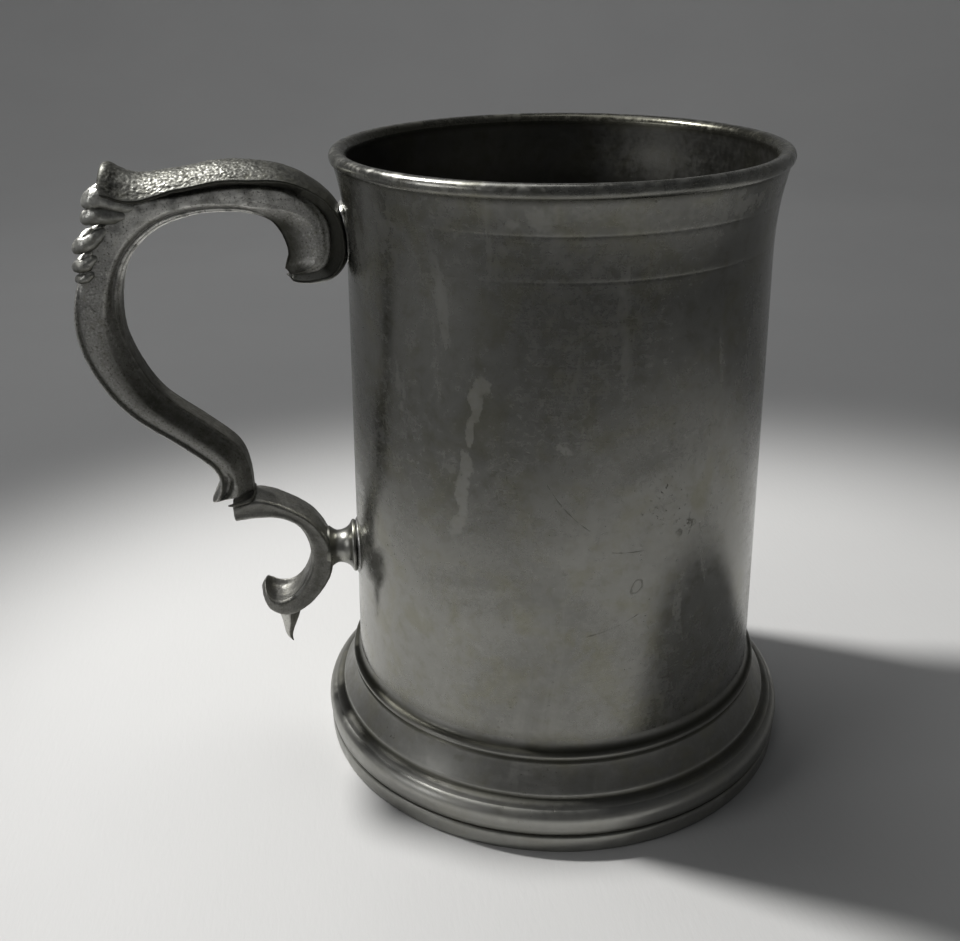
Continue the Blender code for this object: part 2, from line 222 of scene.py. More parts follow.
class Tree:
    """Small helper that adds and links shader nodes."""

    def __init__(self, name):
        self.material = bpy.data.materials.new(name)
        self.material.use_nodes = True
        self.nodes = self.material.node_tree.nodes
        self.links = self.material.node_tree.links
        self.shader = self.nodes["Principled BSDF"]
        self.place = self.nodes.new("ShaderNodeTexCoord").outputs["Object"]

    def put(self, value, socket):
        if isinstance(value, bpy.types.NodeSocket):
            self.links.new(value, socket)
        else:
            socket.default_value = value

    def add(self, kind, **inputs):
        node = self.nodes.new("ShaderNode" + kind)
        for name, value in inputs.items():
            self.put(value, node.inputs[name])
        return node

    def stretched(self, scale):
        return self.add("Mapping", Scale=scale, Vector=self.place).outputs["Vector"]

    def noise(self, scale, detail=3.0, roughness=0.55, distortion=0.0, vector=None):
        node = self.add("TexNoise", Scale=scale, Detail=detail, Roughness=roughness, Distortion=distortion)
        self.put(vector or self.place, node.inputs["Vector"])
        return node.outputs["Fac"]

    def cells(self, scale):
        return self.add("TexVoronoi", Scale=scale, Vector=self.place).outputs["Distance"]

    def spread(self, value, low, high, to_low=0.0, to_high=1.0):
        node = self.nodes.new("ShaderNodeMapRange")
        node.interpolation_type = "SMOOTHSTEP"
        for key, number in (("From Min", low), ("From Max", high), ("To Min", to_low), ("To Max", to_high)):
            node.inputs[key].default_value = number
        self.put(value, node.inputs["Value"])
        return node.outputs["Result"]

    def maths(self, how, a, b=0.0):
        node = self.nodes.new("ShaderNodeMath")
        node.operation = how
        self.put(a, node.inputs[0])
        self.put(b, node.inputs[1])
        return node.outputs[0]

    def plus(self, a, b):
        return self.maths("ADD", a, b)

    def times(self, a, b):
        return self.maths("MULTIPLY", a, b)

    def mixed(self, share, a, b):
        node = self.nodes.new("ShaderNodeMix")
        node.data_type = "RGBA"
        self.put(share, node.inputs["Factor"])
        for value, socket in ((a, node.inputs["A"]), (b, node.inputs["B"])):
            self.put((*value, 1.0) if isinstance(value, tuple) else value, socket)
        return node.outputs["Result"]

    def attribute(self, name):
        node = self.nodes.new("ShaderNodeAttribute")
        node.attribute_name = name
        return node.outputs["Fac"]

    def laid(self, middle, angle, scale):
        """The front of the drum as (along, up), in units of scale, round a place given in mm as (x, z)."""
        node = self.add(
            "Mapping", Location=(middle[0] * MM, 0.0, middle[1] * MM), Rotation=(0.0, -angle, 0.0),
            Scale=(scale[0] * MM, 1.0, scale[1] * MM), Vector=self.place)
        node.vector_type = "TEXTURE"
        split = self.nodes.new("ShaderNodeSeparateXYZ")
        self.links.new(node.outputs["Vector"], split.inputs[0])
        front = self.spread(split.outputs["Y"], -0.02, -0.03)
        return split.outputs["X"], split.outputs["Z"], front

    def scratch(self, start, end, width, sag):
        """1 on a thin, slightly bent and broken line between two places on the front, both (x, z) in mm."""
        run, rise = end[0] - start[0], end[1] - start[1]
        along, up, front = self.laid(start, atan2(rise, run), (hypot(run, rise), width))
        bend = self.times(self.times(along, self.maths("SUBTRACT", 1.0, along)), 4 * sag / width)
        off = self.maths("ABSOLUTE", self.maths("SUBTRACT", up, bend))
        wobble = self.spread(self.noise(500.0, 3.0), 0.35, 0.65, -0.7, 0.7)
        line = self.spread(self.plus(off, wobble), 1.0, 0.3)
        ends = self.times(self.spread(along, 0.0, 0.06), self.spread(along, 1.0, 0.85))
        return self.times(self.times(line, ends), front)

    def ring_stain(self, middle, size):
        """1 on the outline of a small dried drop on the front."""
        along, up, front = self.laid(middle, radians(55.0), size)
        far = self.maths("SQRT", self.plus(self.times(along, along), self.times(up, up)))
        far = self.plus(far, self.spread(self.noise(500.0, 3.0), 0.3, 0.7, -0.25, 0.25))
        off = self.maths("ABSOLUTE", self.maths("SUBTRACT", far, 1.0))
        return self.times(self.spread(off, 0.3, 0.1), front)

    def finished(self, base, roughness, metallic, normal):
        """The material, with its four patterned or uniform inputs set."""
        self.put(base, self.shader.inputs["Base Color"])
        self.put(roughness, self.shader.inputs["Roughness"])
        self.shader.inputs["Metallic"].default_value = metallic
        self.put(normal, self.shader.inputs["Normal"])
        return self.material

    def bumped(self, height, distance, strength=1.0, under=None):
        node = self.add("Bump", Distance=distance, Strength=strength, Height=height)
        if under is not None:
            self.links.new(under, node.inputs["Normal"])
        return node.outputs["Normal"]


def tinted(colour, share):
    return tuple(c * share for c in colour)


def turned_pewter(name, colour, rough_base, tarnish=0.5, marks=False):
    """Lathe-turned pewter with fine rings, cloudy tarnish, pits and marks of rubbing; the pieces' point marks
    also lighten it for painted highlights and darken it for painted shade.
    """
    tree = Tree(name)
    clouds = tree.noise(28.0, 5.0, 0.6, 0.6)
    patches = tree.noise(95.0, 8.0, 0.65, 0.4)
    specks = tree.noise(900.0, 4.0, 0.6)
    rings = tree.noise(1.0, 4.0, 0.6, 0.0, tree.stretched((14.0, 14.0, 2600.0)))
    broad_rings = tree.noise(1.0, 2.0, 0.5, 0.0, tree.stretched((6.0, 6.0, 420.0)))
    smears = tree.noise(1.0, 5.0, 0.6, 0.8, tree.stretched((130.0, 130.0, 34.0)))
    dark = tree.times(tree.spread(clouds, 0.42, 0.68), tarnish)
    base = tree.mixed(dark, colour, tinted(colour, 0.62))
    olive = (colour[0] * 0.86, colour[1] * 0.84, colour[2] * 0.68)
    base = tree.mixed(tree.times(tree.spread(patches, 0.48, 0.66), 0.55), base, olive)
    pale = tree.times(tree.spread(smears, 0.56, 0.72), 0.35)
    base = tree.mixed(pale, base, tinted(colour, 1.35))
    pit_field = tree.spread(tree.noise(60.0, 3.0), 0.57, 0.7)
    pits = tree.spread(tree.noise(1300.0, 3.0, 0.6), 0.62, 0.7)
    pits = tree.times(pits, pit_field)
    roughness = tree.spread(clouds, 0.3, 0.7, rough_base - 0.06, rough_base + 0.08)
    mottle = tree.noise(330.0, 7.0, 0.65, 0.3)
    base = tree.mixed(tree.spread(mottle, 0.5, 0.7, 0.0, 0.35), base, tinted(colour, 1.2))
    base = tree.mixed(tree.spread(mottle, 0.5, 0.32, 0.0, 0.35), base, tinted(olive, 0.75))
    for pattern, low, to_low, to_high in (
            (mottle, 0.3, -0.02, 0.035), (rings, 0.3, -0.015, 0.02), (specks, 0.35, -0.03, 0.05)):
        roughness = tree.plus(roughness, tree.spread(pattern, low, 0.7, to_low, to_high))
    roughness = tree.plus(roughness, tree.times(pale, 0.3))
    if marks:
        stain = tree.attribute("stain")
        edge = tree.plus(stain, tree.spread(tree.noise(420.0, 6.0), 0.2, 0.8, -0.35, 0.35))
        stained = tree.spread(edge, 0.36, 0.7)
        base = tree.mixed(tree.times(stained, 0.3), base, tinted(colour, 1.7))
        roughness = tree.plus(roughness, tree.times(stained, 0.15))
        crumbs = tree.spread(tree.noise(800.0, 5.0, 0.65, 0.6), 0.47, 0.6)
        eaten = tree.times(tree.attribute("pitted"), crumbs)
        pits = tree.maths("MAXIMUM", pits, tree.times(tree.spread(eaten, 0.2, 0.7), 0.75))
        for start, end, width, sag in SCRATCHES:
            pits = tree.maths("MAXIMUM", pits, tree.times(tree.scratch(start, end, width, sag), 0.6))
        for middle, size in RING_STAINS:
            pits = tree.maths("MAXIMUM", pits, tree.times(tree.ring_stain(middle, size), 0.45))
    # Lighter where a piece marks polish from use and painted highlights.
    wear_and_highlight = tree.attribute("wear_and_highlight")
    base = tree.mixed(wear_and_highlight, base, tinted(colour, 1.8))
    roughness = tree.maths("SUBTRACT", roughness, tree.times(wear_and_highlight, 0.1))
    # Darker where a piece marks tarnish and painted shade.
    base = tree.mixed(tree.attribute("grime_and_shade"), base, tinted(olive, 0.34))
    base = tree.mixed(tree.times(pits, 0.6), base, tinted(olive, 0.35))
    roughness = tree.plus(roughness, tree.times(pits, 0.25))
    normal = tree.bumped(rings, 0.000003, 0.4)
    normal = tree.bumped(broad_rings, 0.00001, 0.3, normal)
    normal = tree.bumped(mottle, 0.00001, 0.5, normal)
    normal = tree.bumped(specks, 0.000014, 0.6, normal)
    normal = tree.bumped(tree.maths("SUBTRACT", 1.0, pits), 0.00003, 0.5, normal)
    return tree.finished(base, roughness, 0.94, normal)


def cast_pewter(name, colour, rough_base, grain=1.0):
    """Cast pewter, darker and grainy, darkened in the hollows by tarnish and painted shade, with bright edges
    that are partly polished by use and partly painted highlights.
    """
    tree = Tree(name)
    clouds = tree.noise(70.0, 6.0, 0.6, 0.5)
    grains = tree.noise(2100.0, 5.0, 0.7)
    coarse = tree.noise(620.0, 5.0, 0.65)
    dents = tree.spread(tree.cells(900.0), 0.12, 0.45)
    base = tree.mixed(tree.spread(clouds, 0.38, 0.68), tinted(colour, 1.15), tinted(colour, 0.7))
    olive = (colour[0] * 0.8, colour[1] * 0.79, colour[2] * 0.66)
    base = tree.mixed(tree.spread(coarse, 0.5, 0.72, 0.0, 0.55), base, olive)
    # Lighter where a piece marks polish from use and painted highlights.
    base = tree.mixed(tree.attribute("wear_and_highlight"), base, tinted(colour, 2.5))
    base = tree.mixed(tree.spread(grains, 0.53, 0.68, 0.0, min(0.45 * grain, 0.7)), base, tinted(colour, 2.0))
    base = tree.mixed(tree.spread(grains, 0.47, 0.33, 0.0, min(0.6 * grain, 0.9)), base, tinted(olive, 0.35))
    # Darker where a piece marks tarnish and painted shade.
    base = tree.mixed(tree.attribute("grime_and_shade"), base, tinted(olive, 0.2))
    roughness = tree.spread(coarse, 0.3, 0.7, rough_base - 0.06, rough_base + 0.12)
    roughness = tree.plus(roughness, tree.spread(grains, 0.3, 0.7, -0.05, 0.07))
    roughness = tree.maths("SUBTRACT", roughness, tree.times(tree.attribute("wear_and_highlight"), 0.12))
    roughness = tree.plus(roughness, tree.times(tree.attribute("grime_and_shade"), 0.15))
    normal = tree.bumped(grains, 0.00006 * grain, 0.8)
    normal = tree.bumped(coarse, 0.00012 * grain, 0.7, normal)
    normal = tree.bumped(dents, 0.00004 * grain, 0.25, normal)
    return tree.finished(base, roughness, 0.92, normal)


def solder_metal(name, colour):
    """Brighter, slightly runny solder with a skin of fine wrinkles."""
    tree = Tree(name)
    skin = tree.noise(480.0, 6.0, 0.6, 0.8)
    fine = tree.noise(2400.0, 3.0)
    base = tree.mixed(tree.spread(skin, 0.4, 0.66), colour, tinted(colour, 0.55))
    # Darker where the piece marks it: dark solder at the joints, and a painted shadow on the solder round the
    # strut.
    base = tree.mixed(tree.attribute("grime_and_shade"), base, tinted(colour, 0.3))
    roughness = tree.spread(skin, 0.3, 0.7, 0.24, 0.46)
    normal = tree.bumped(fine, 0.00001, 0.5, tree.bumped(skin, 0.00008, 0.6))
    return tree.finished(base, roughness, 0.95, normal)


# Marks on the front of the drum, in mm: scratches as (start, end, half width, sag), and dried drops.
SCRATCHES = [
    ((AXIS_X - 9.6, 78.0), (AXIS_X - 0.6, 67.0), 0.12, -0.9),
    ((AXIS_X - 1.4, 45.2), (AXIS_X + 9.6, 49.3), 0.11, -0.5),
    ((AXIS_X + 3.0, 62.7), (AXIS_X + 9.6, 62.3), 0.1, -0.2)]
RING_STAINS = [((AXIS_X + 8.4, 55.0), (1.5, 0.9))]

DRUM_PEWTER = turned_pewter("drum_pewter", (0.245, 0.244, 0.226), 0.225, 0.5, marks=True)
# A darker copy of the drum's pewter, with more tarnish, for the inside of the cup and its floor: painted
# shade.
INSIDE_PEWTER = turned_pewter("inside_pewter", (0.11, 0.109, 0.1), 0.38, 0.7)
FOOT_PEWTER = turned_pewter("foot_pewter", (0.235, 0.234, 0.219), 0.43, 0.6)
STRUT_PEWTER = turned_pewter("strut_pewter", (0.3, 0.3, 0.278), 0.26, 0.4)
SCROLL_PEWTER = cast_pewter("scroll_pewter", (0.36, 0.357, 0.34), 0.47, 1.6)
LEAF_PEWTER = cast_pewter("leaf_pewter", (0.18, 0.18, 0.165), 0.42, 0.8)
# A lighter copy of the cast pewter for the leaf tips down the back: a painted highlight on them.
LOBE_PEWTER = cast_pewter("lobe_pewter", (0.42, 0.42, 0.395), 0.36, 0.8)
# A darker copy of the cast pewter for the lower scroll and the drop: painted shade.
LOWER_PEWTER = cast_pewter("lower_pewter", (0.215, 0.213, 0.198), 0.45, 1.0)
SOLDER = solder_metal("solder", (0.62, 0.62, 0.6))


# ---- drum and foot

def lathe(profile, steps, closed=True):
    """(points, faces) of an outline turned about the drum axis; with closed, the outline is a loop."""
    profile = np.array(profile, float)
    angles = 2 * pi * np.arange(steps) / steps
    r, z = profile[:, 0][None, :], profile[:, 1][None, :]
    ring = np.stack([r * np.cos(angles)[:, None], r * np.sin(angles)[:, None],
                     np.broadcast_to(z, (steps, len(profile)))], -1)
    return ring.reshape(-1, 3), grid_faces(steps, len(profile), True, closed)


def drum_radius(z):
    """Outside radius of the drum: a straight taper, then a flared lip above NECK_Z."""
    if z <= NECK_Z:
        return blend(DRUM_FOOT_R, NECK_R, (z - SHOULDER_Z - 0.3) / (NECK_Z - SHOULDER_Z - 0.3))
    t = (z - NECK_Z) / (RIM_Z - 2.6 - NECK_Z)
    return NECK_R + (RIM_R - 0.75 - NECK_R) * min(t, 1.05) ** 2.3


TURNED_LINES = (121.2, 113.3)  # two faint lines cut round the drum under its lip
STEPS = 300
RIM_SLOPE = ((1.9, 0.05), (2.3, 0.16), (2.7, 0.36), (3.05, 0.66), (3.3, 1.05), (3.45, 1.5))  # in and down
# The dried drip down the front, as (azimuth in degrees, height, half width in degrees, half height), and the
# fainter blots beside it, as (azimuth, height, size).
DRIP = (
    (-118.4, 95.0, 2.5, 3.0), (-119.8, 91.0, 2.0, 3.6), (-121.4, 85.0, 1.2, 4.0),
    (-122.6, 79.0, 1.9, 4.0), (-123.8, 73.0, 2.1, 4.2), (-124.9, 67.0, 2.6, 2.8))
BLOTS = ((-97.0, 83.5, 3.6), (-89.4, 79.5, 3.0), (-94.0, 60.0, 1.6), (-88.5, 58.0, 1.4))


def build_drum():
    heights = [SHOULDER_Z - 0.05, SHOULDER_Z + 0.4]
    heights += list(np.arange(23.5, NECK_Z, 1.5)) + list(np.arange(NECK_Z + 0.2, RIM_Z - 2.9, 0.5))
    for line in TURNED_LINES:
        heights = [z for z in heights if abs(z - line) > 0.5]
        heights += [line - 0.45, line - 0.18, line, line + 0.18, line + 0.45]
    heights = sorted(heights)
    outer = []
    for z in heights:
        cut = sum(0.035 * bump_at(z, line, 0.2) for line in TURNED_LINES)
        outer.append((drum_radius(z) - cut, z))
    bead = arc((RIM_R - BEAD_R, RIM_Z - BEAD_R), BEAD_R, -66, 96, 24)
    bead += [(RIM_R - x, RIM_Z - y) for x, y in RIM_SLOPE]
    inner = [(RIM_R - 3.52, 127.9), (RIM_R - 3.56, 126.8), (RIM_R - 3.62, 125.2)]
    inner += [(40.9, 122.8), (40.5, 119.8), (NECK_R - WALL + 0.2, 116.0)]
    inner += [(drum_radius(z) - WALL, z) for z in np.arange(NECK_Z, FLOOR_TOP, -3.0)]
    inner += [(drum_radius(SHOULDER_Z) - WALL, SHOULDER_Z - 0.05)]
    obj = piece("drum_body", [lathe(outer + bead + inner, STEPS)], DRUM_PEWTER, ["drum"], 50)
    obj.data.materials.append(INSIDE_PEWTER)
    co, _ = local_points(obj)
    r, z = axis_distance(co), co[:, 2]
    angle = np.degrees(np.arctan2(co[:, 1], co[:, 0]))
    swing = 0.05 * rough(co, 30.0, 1.0) + 0.012 * rough(co, 7.0, 2.0)
    rim = ramp(z, RIM_Z - 2.4, RIM_Z - 1.6)
    swing = swing - 0.05 * rim - 0.09 * rim * np.clip(rough(co, 1.9, 3.0) - 0.25, 0, 1)
    push(obj, np.where(r > 43.0, np.minimum(swing, np.where(rim > 0.5, 0.0, 0.1)), swing))

    outside = ramp(r - np.interp(z, [20, 111, 130], [42.6, 40.9, 42.6]), 0.0, 0.4)
    drip = np.zeros(len(co))
    for middle, level, wide, tall in DRIP:
        drip = np.maximum(drip, bump_at(angle, middle, wide) * bump_at(z, level, tall))
    for middle, level, size in BLOTS:
        drip = np.maximum(drip, 0.55 * bump_at(angle, middle, size) * bump_at(z, level, size * 0.9))
    paler = 0.62 * bump_at(z, 124.5, 3.4) * (0.75 + 0.35 * rough(co, 9.0, 14.0))
    drip = np.maximum(drip, paler * ramp(angle, -122, -105))
    mark(obj, "stain", np.maximum(drip * outside, 0.42 * rim))
    pitted = 0.9 * bump_at(angle, -112.5, 4.6) * bump_at(z, 79.0, 9.0)
    pitted = np.maximum(pitted, 0.8 * bump_at(angle, -65.5, 4.0) * bump_at(z, 65.5, 2.6))
    pitted = np.maximum(pitted, 0.55 * bump_at(angle, -100.0, 16.0) * bump_at(z, 86.0, 10.0))
    mark(obj, "pitted", pitted * outside)
    worn_and_lit = 0.3 * rim * outside * ramp(rough(co, 2.6, 4.0), -0.1, 0.6)
    worn_and_lit = np.maximum(worn_and_lit, 0.6 * rim * ramp(rough(co, 1.5, 6.0), 0.42, 0.6))
    mark(obj, "wear_and_highlight", worn_and_lit)
    # Painted shade under the rim's bead, round the drum where it meets the foot, and on the rim's inner
    # slope.
    under_bead = bump_at(z, RIM_Z - 2.5, 0.5) * outside * 0.6
    inner_slope = 0.85 * ramp(RIM_R - r, 1.5, 2.7) * ramp(z, RIM_Z - 3.0, RIM_Z - 2.4)
    painted_shade = np.maximum(under_bead, 0.35 * bump_at(z, SHOULDER_Z, 1.2)) * outside
    mark(obj, "grime_and_shade", np.maximum(painted_shade, inner_slope))
    columns = len(outer) + len(bead) + len(inner)
    along = np.arange(len(obj.data.polygons)) % columns
    first_inside = len(outer) + len(bead) - 1
    is_inside = (along >= first_inside) & (along < columns - 1)
    obj.data.polygons.foreach_set("material_index", is_inside.astype(np.int32))


def build_foot():
    turns = np.radians(np.arange(0, 85, 7))
    cove = [(DRUM_FOOT_R + 1.25 * (1 - cos(a)), SHOULDER_Z - 2.1 * sin(a)) for a in turns]
    outer = cove + arc((DRUM_FOOT_R + 1.0, 18.6), 0.75, 48, -58, 12)
    outer += [(45.15, 17.82), (45.24, 17.5), (45.5, 17.3)]
    outer += [(45.5 + 2.75 * t ** 1.25, 17.3 - 5.5 * t) for t in np.linspace(0.06, 0.97, 16)]
    outer += [(48.31, 11.7), (48.34, 11.5), (48.34, 10.85), (48.5, 10.62), (49.2, 10.38), (50.0, 10.06)]
    outer += arc((RIDGE_R - 2.67, 7.2), 2.65, 68, 2, 18)
    outer += [(RIDGE_R - 0.1, 6.3), (51.66, 5.6), (51.6, 5.0), (51.5, 4.5), (51.25, WIRE_TOP + 0.28)]
    inner = [(49.6, WIRE_TOP + 0.28), (49.4, 7.4), (46.6, 9.6), (46.0, 11.6), (43.4, 16.6)]
    inner += [(FOOT_BORE, 17.2), (FOOT_BORE, LEDGE_Z), (FLOOR_R, LEDGE_Z), (FLOOR_R, SHOULDER_Z)]
    obj = piece("foot_skirt_body", [lathe(outer + inner, STEPS)], FOOT_PEWTER, ["foot_skirt"], 55)
    co, _ = local_points(obj)
    r, z = axis_distance(co), co[:, 2]
    shown = ramp(r, 43.2, 44.0)
    lumps = np.minimum(0.02 * rough(co, 20.0, 7.0) + 0.012 * rough(co, 4.0, 8.0) - 0.03, 0.0)
    nick = np.clip(rough(co, 2.2, 9.0) - 0.45, 0, 1)
    crest = np.maximum.reduce([bump_at(z, 11.6, 0.5), bump_at(z, 7.6, 1.2), bump_at(z, 18.7, 0.5)])
    push(obj, shown * (lumps - 0.12 * nick * crest))
    # Lighter: painted highlights on the nose and all below it, on the edge at 11.65 mm and on the bead at
    # 18.7 mm, with real polish on the nicked crests.
    rubbed_and_lit = 0.4 * ramp(-z, -10.4, -9.4) + 0.5 * bump_at(z, 11.65, 0.3) + 0.3 * bump_at(z, 18.7, 0.45)
    rubbed_and_lit = rubbed_and_lit + 0.7 * nick * crest + 0.15 * bump_at(z, 8.0, 1.2)
    mark(obj, "wear_and_highlight", shown * np.clip(rubbed_and_lit, 0, 1))
    # Painted shade in the cove, the groove under the bead, the step and the groove over the wire; the faces
    # inside the foot are a little darker all over.
    hollow = np.maximum.reduce([
        0.85 * bump_at(z, 19.6, 0.7), 0.9 * bump_at(z, 17.55, 0.35), 0.8 * bump_at(z, 10.8, 0.55),
        0.55 * bump_at(z, 4.7, 0.5)])
    mark(obj, "grime_and_shade", np.where(r > 43.2, hollow, 0.3))

    low_r = RIDGE_R - 0.25
    wire = [(WIRE_BORE, WIRE_TOP), (WIRE_BORE, 0.5), (49.55, 0.15), (49.9, 0.0), (51.0, 0.0)]
    wire += [(51.25, 0.12), (51.42, 0.38), (low_r - 0.1, 0.8), (low_r - 0.03, 1.6), (low_r, 2.6)]
    wire += [(low_r - 0.02, 3.4), (low_r - 0.12, 3.75), (low_r - 0.4, WIRE_TOP)]
    ring = piece("foot_wire_ring", [lathe(wire, STEPS)], FOOT_PEWTER, ["foot_wire"], 50)
    co, _ = local_points(ring)
    outer_face = ramp(axis_distance(co), 51.2, 51.5)
    dings = np.clip(rough(co, 2.6, 11.0) - 0.35, 0, 1)
    push(ring, outer_face * (-0.015 + 0.012 * rough(co, 9.0, 10.0) - 0.12 * dings))
    # Lighter outer face and lower edge: painted highlight, with real polish on the dings.
    mark(ring, "wear_and_highlight", outer_face * np.clip(0.4 + 0.25 * bump_at(co[:, 2], 0.3, 0.5) + dings, 0, 1))
    # Darker top: painted shade in the groove over the wire.
    mark(ring, "grime_and_shade", 0.5 * bump_at(co[:, 2], WIRE_TOP, 0.3))

    disc = [(0.0, LEDGE_Z + 0.3), (10.0, LEDGE_Z + 0.28), (30.0, LEDGE_Z + 0.2), (41.8, LEDGE_Z + 0.05)]
    disc += [(FLOOR_R, LEDGE_Z + 0.3), (FLOOR_R, FLOOR_TOP - 0.1), (41.0, FLOOR_TOP)]
    for r in np.arange(40.0, 1.0, -0.6):
        disc.append((r, FLOOR_TOP - 0.05 + 0.02 * cos(r * 1.9) + 0.015 * cos(r * 0.7)))
    disc.append((0.4, FLOOR_TOP))
    plate = piece("cup_floor", [solid_turned(disc, STEPS)], INSIDE_PEWTER, ["floor_disc"], 50)
    co, _ = local_points(plate)
    mark(plate, "grime_and_shade", 0.25 * ramp(axis_distance(co), 36.0, 41.0))
    mark(plate, "wear_and_highlight", np.zeros(len(co)))

    inside = drum_radius(22.3) - WALL
    seam = [(inside + 0.15, FLOOR_TOP - 0.1), (inside + 0.12, 23.1), (inside - 0.12, 22.75)]
    seam += [(inside - 0.42, 22.1), (inside - 0.85, 21.7), (inside - 1.45, FLOOR_TOP - 0.02)]
    seam += [(inside - 1.5, FLOOR_TOP - 0.1)]
    fillet = piece("cup_seam_fillet", [lathe(seam, STEPS)], SOLDER, ["cup_seam_solder"], 60)
    co, _ = local_points(fillet)
    push(fillet, 0.12 * rough(co, 2.4, 12.0))
    mark(fillet, "grime_and_shade", np.full(len(co), 0.75))
    under = [(FOOT_BORE + 0.1, LEDGE_Z + 0.25), (FOOT_BORE - 1.7, LEDGE_Z + 0.25), (FOOT_BORE - 0.9, 18.75)]
    under += [(FOOT_BORE - 0.35, 18.1), (FOOT_BORE, 17.4), (FOOT_BORE + 0.1, 17.5)]
    bead = piece("under_floor_fillet", [lathe(under, STEPS)], SOLDER, ["under_floor_solder"], 60)
    co, _ = local_points(bead)
    push(bead, 0.1 * rough(co, 2.8, 13.0))
    mark(bead, "grime_and_shade", np.full(len(co), 0.5))


def solid_turned(profile, steps):
    """An outline that starts on the axis, turned into a solid disc, with a cap at its last small radius."""
    profile = np.array(profile[1:], float)
    points, faces = lathe(profile, steps, closed=False)
    n = len(profile)
    centre = len(points)
    points = np.vstack([points, [0, 0, profile[0][1]]])
    faces += [[centre, i * n, ((i + 1) % steps) * n] for i in range(steps)]
    faces.append([i * n + n - 1 for i in range(steps)])
    return points, faces


# ---- handle

SCROLL_OUTER = [
    (53.2, 106.5), (46.1, 108.4), (45.3, 117.2), (51.4, 123.3), (61.0, 124.9), (71.0, 124.1), (82.3, 122.4),
    (90.0, 115.2), (94.6, 102.5), (93.8, 91.5), (87.6, 80.6), (77.4, 72.3), (71.6, 66.8), (71.3, 62.4),
    (73.2, 58.9)]
SCROLL_INNER = [
    (54.3, 107.4), (53.4, 111.6), (55.6, 116.6), (60.0, 118.7), (65.6, 119.2), (71.8, 118.5), (78.6, 115.7),
    (83.9, 110.0), (86.2, 102.0), (85.6, 93.5), (80.8, 83.8), (72.6, 76.8), (66.6, 71.2), (64.7, 65.6),
    (64.4, 60.2)]


def ring_across(outer, inner, half):
    """A closed ring across the handle from half its outline, which starts and ends on the middle.

    The outline's points are (depth from the outer face, half width).
    """
    outer, inner = np.array(outer), np.array(inner)
    u = (inner - outer) / np.linalg.norm(inner - outer)
    near = [(outer[0] + u[0] * d, -w, outer[1] + u[1] * d) for d, w in half]
    far = [(outer[0] + u[0] * d, w, outer[1] + u[1] * d) for d, w in half[-2:0:-1]]
    return [(-x, y, z) for x, y, z in near + far]


def both_ways(values):
    """Values for half an outline, then the same for its mirror half, in the order of ring_across."""
    return np.concatenate([values, values[-2:0:-1]])


def loft(rings):
    rows, cols = len(rings), len(rings[0])
    faces = grid_faces(rows, cols, False, True)
    faces.append(list(range(cols)))
    faces.append([(rows - 1) * cols + k for k in range(cols)])
    return np.array(rings).reshape(-1, 3), faces


# Half outlines of the upper scroll's outer edge, as (depth from the outer face, half width): under the
# leaf, round the volute, along the flanged back, at the hollow flick and at its heel.
NECK_EDGE = [(0, 0), (0, 2.9), (0.15, 3.5), (0.4, 3.7), (0.65, 3.85), (0.9, 4.15), (1.1, 4.5), (1.35, 4.74),
             (1.9, 4.84)]
VOLUTE_EDGE = [(0, 0), (0, 3.6), (0.2, 4.2), (0.5, 4.38), (0.8, 4.42), (1.05, 4.5), (1.3, 4.64), (1.6, 4.76),
               (2.0, 4.84)]
FLANGE_EDGE = [(0, 0), (0, 4.5), (0.06, 5.15), (0.25, 5.45), (0.55, 5.42), (0.75, 5.1), (0.9, 4.78),
               (1.1, 4.72), (1.6, 4.82)]
FLICK_EDGE = [(-0.1, 0), (0, 4.3), (0.15, 5.1), (0.5, 5.5), (1.05, 5.4), (1.4, 4.6), (1.75, 3.1), (2.6, 2.7),
              (3.3, 4.2)]
HEEL_EDGE = [(-0.1, 0), (0, 3.0), (0.2, 3.9), (0.6, 4.4), (1.1, 4.55), (1.5, 4.55), (1.9, 4.45), (2.6, 4.3),
             (3.3, 4.25)]


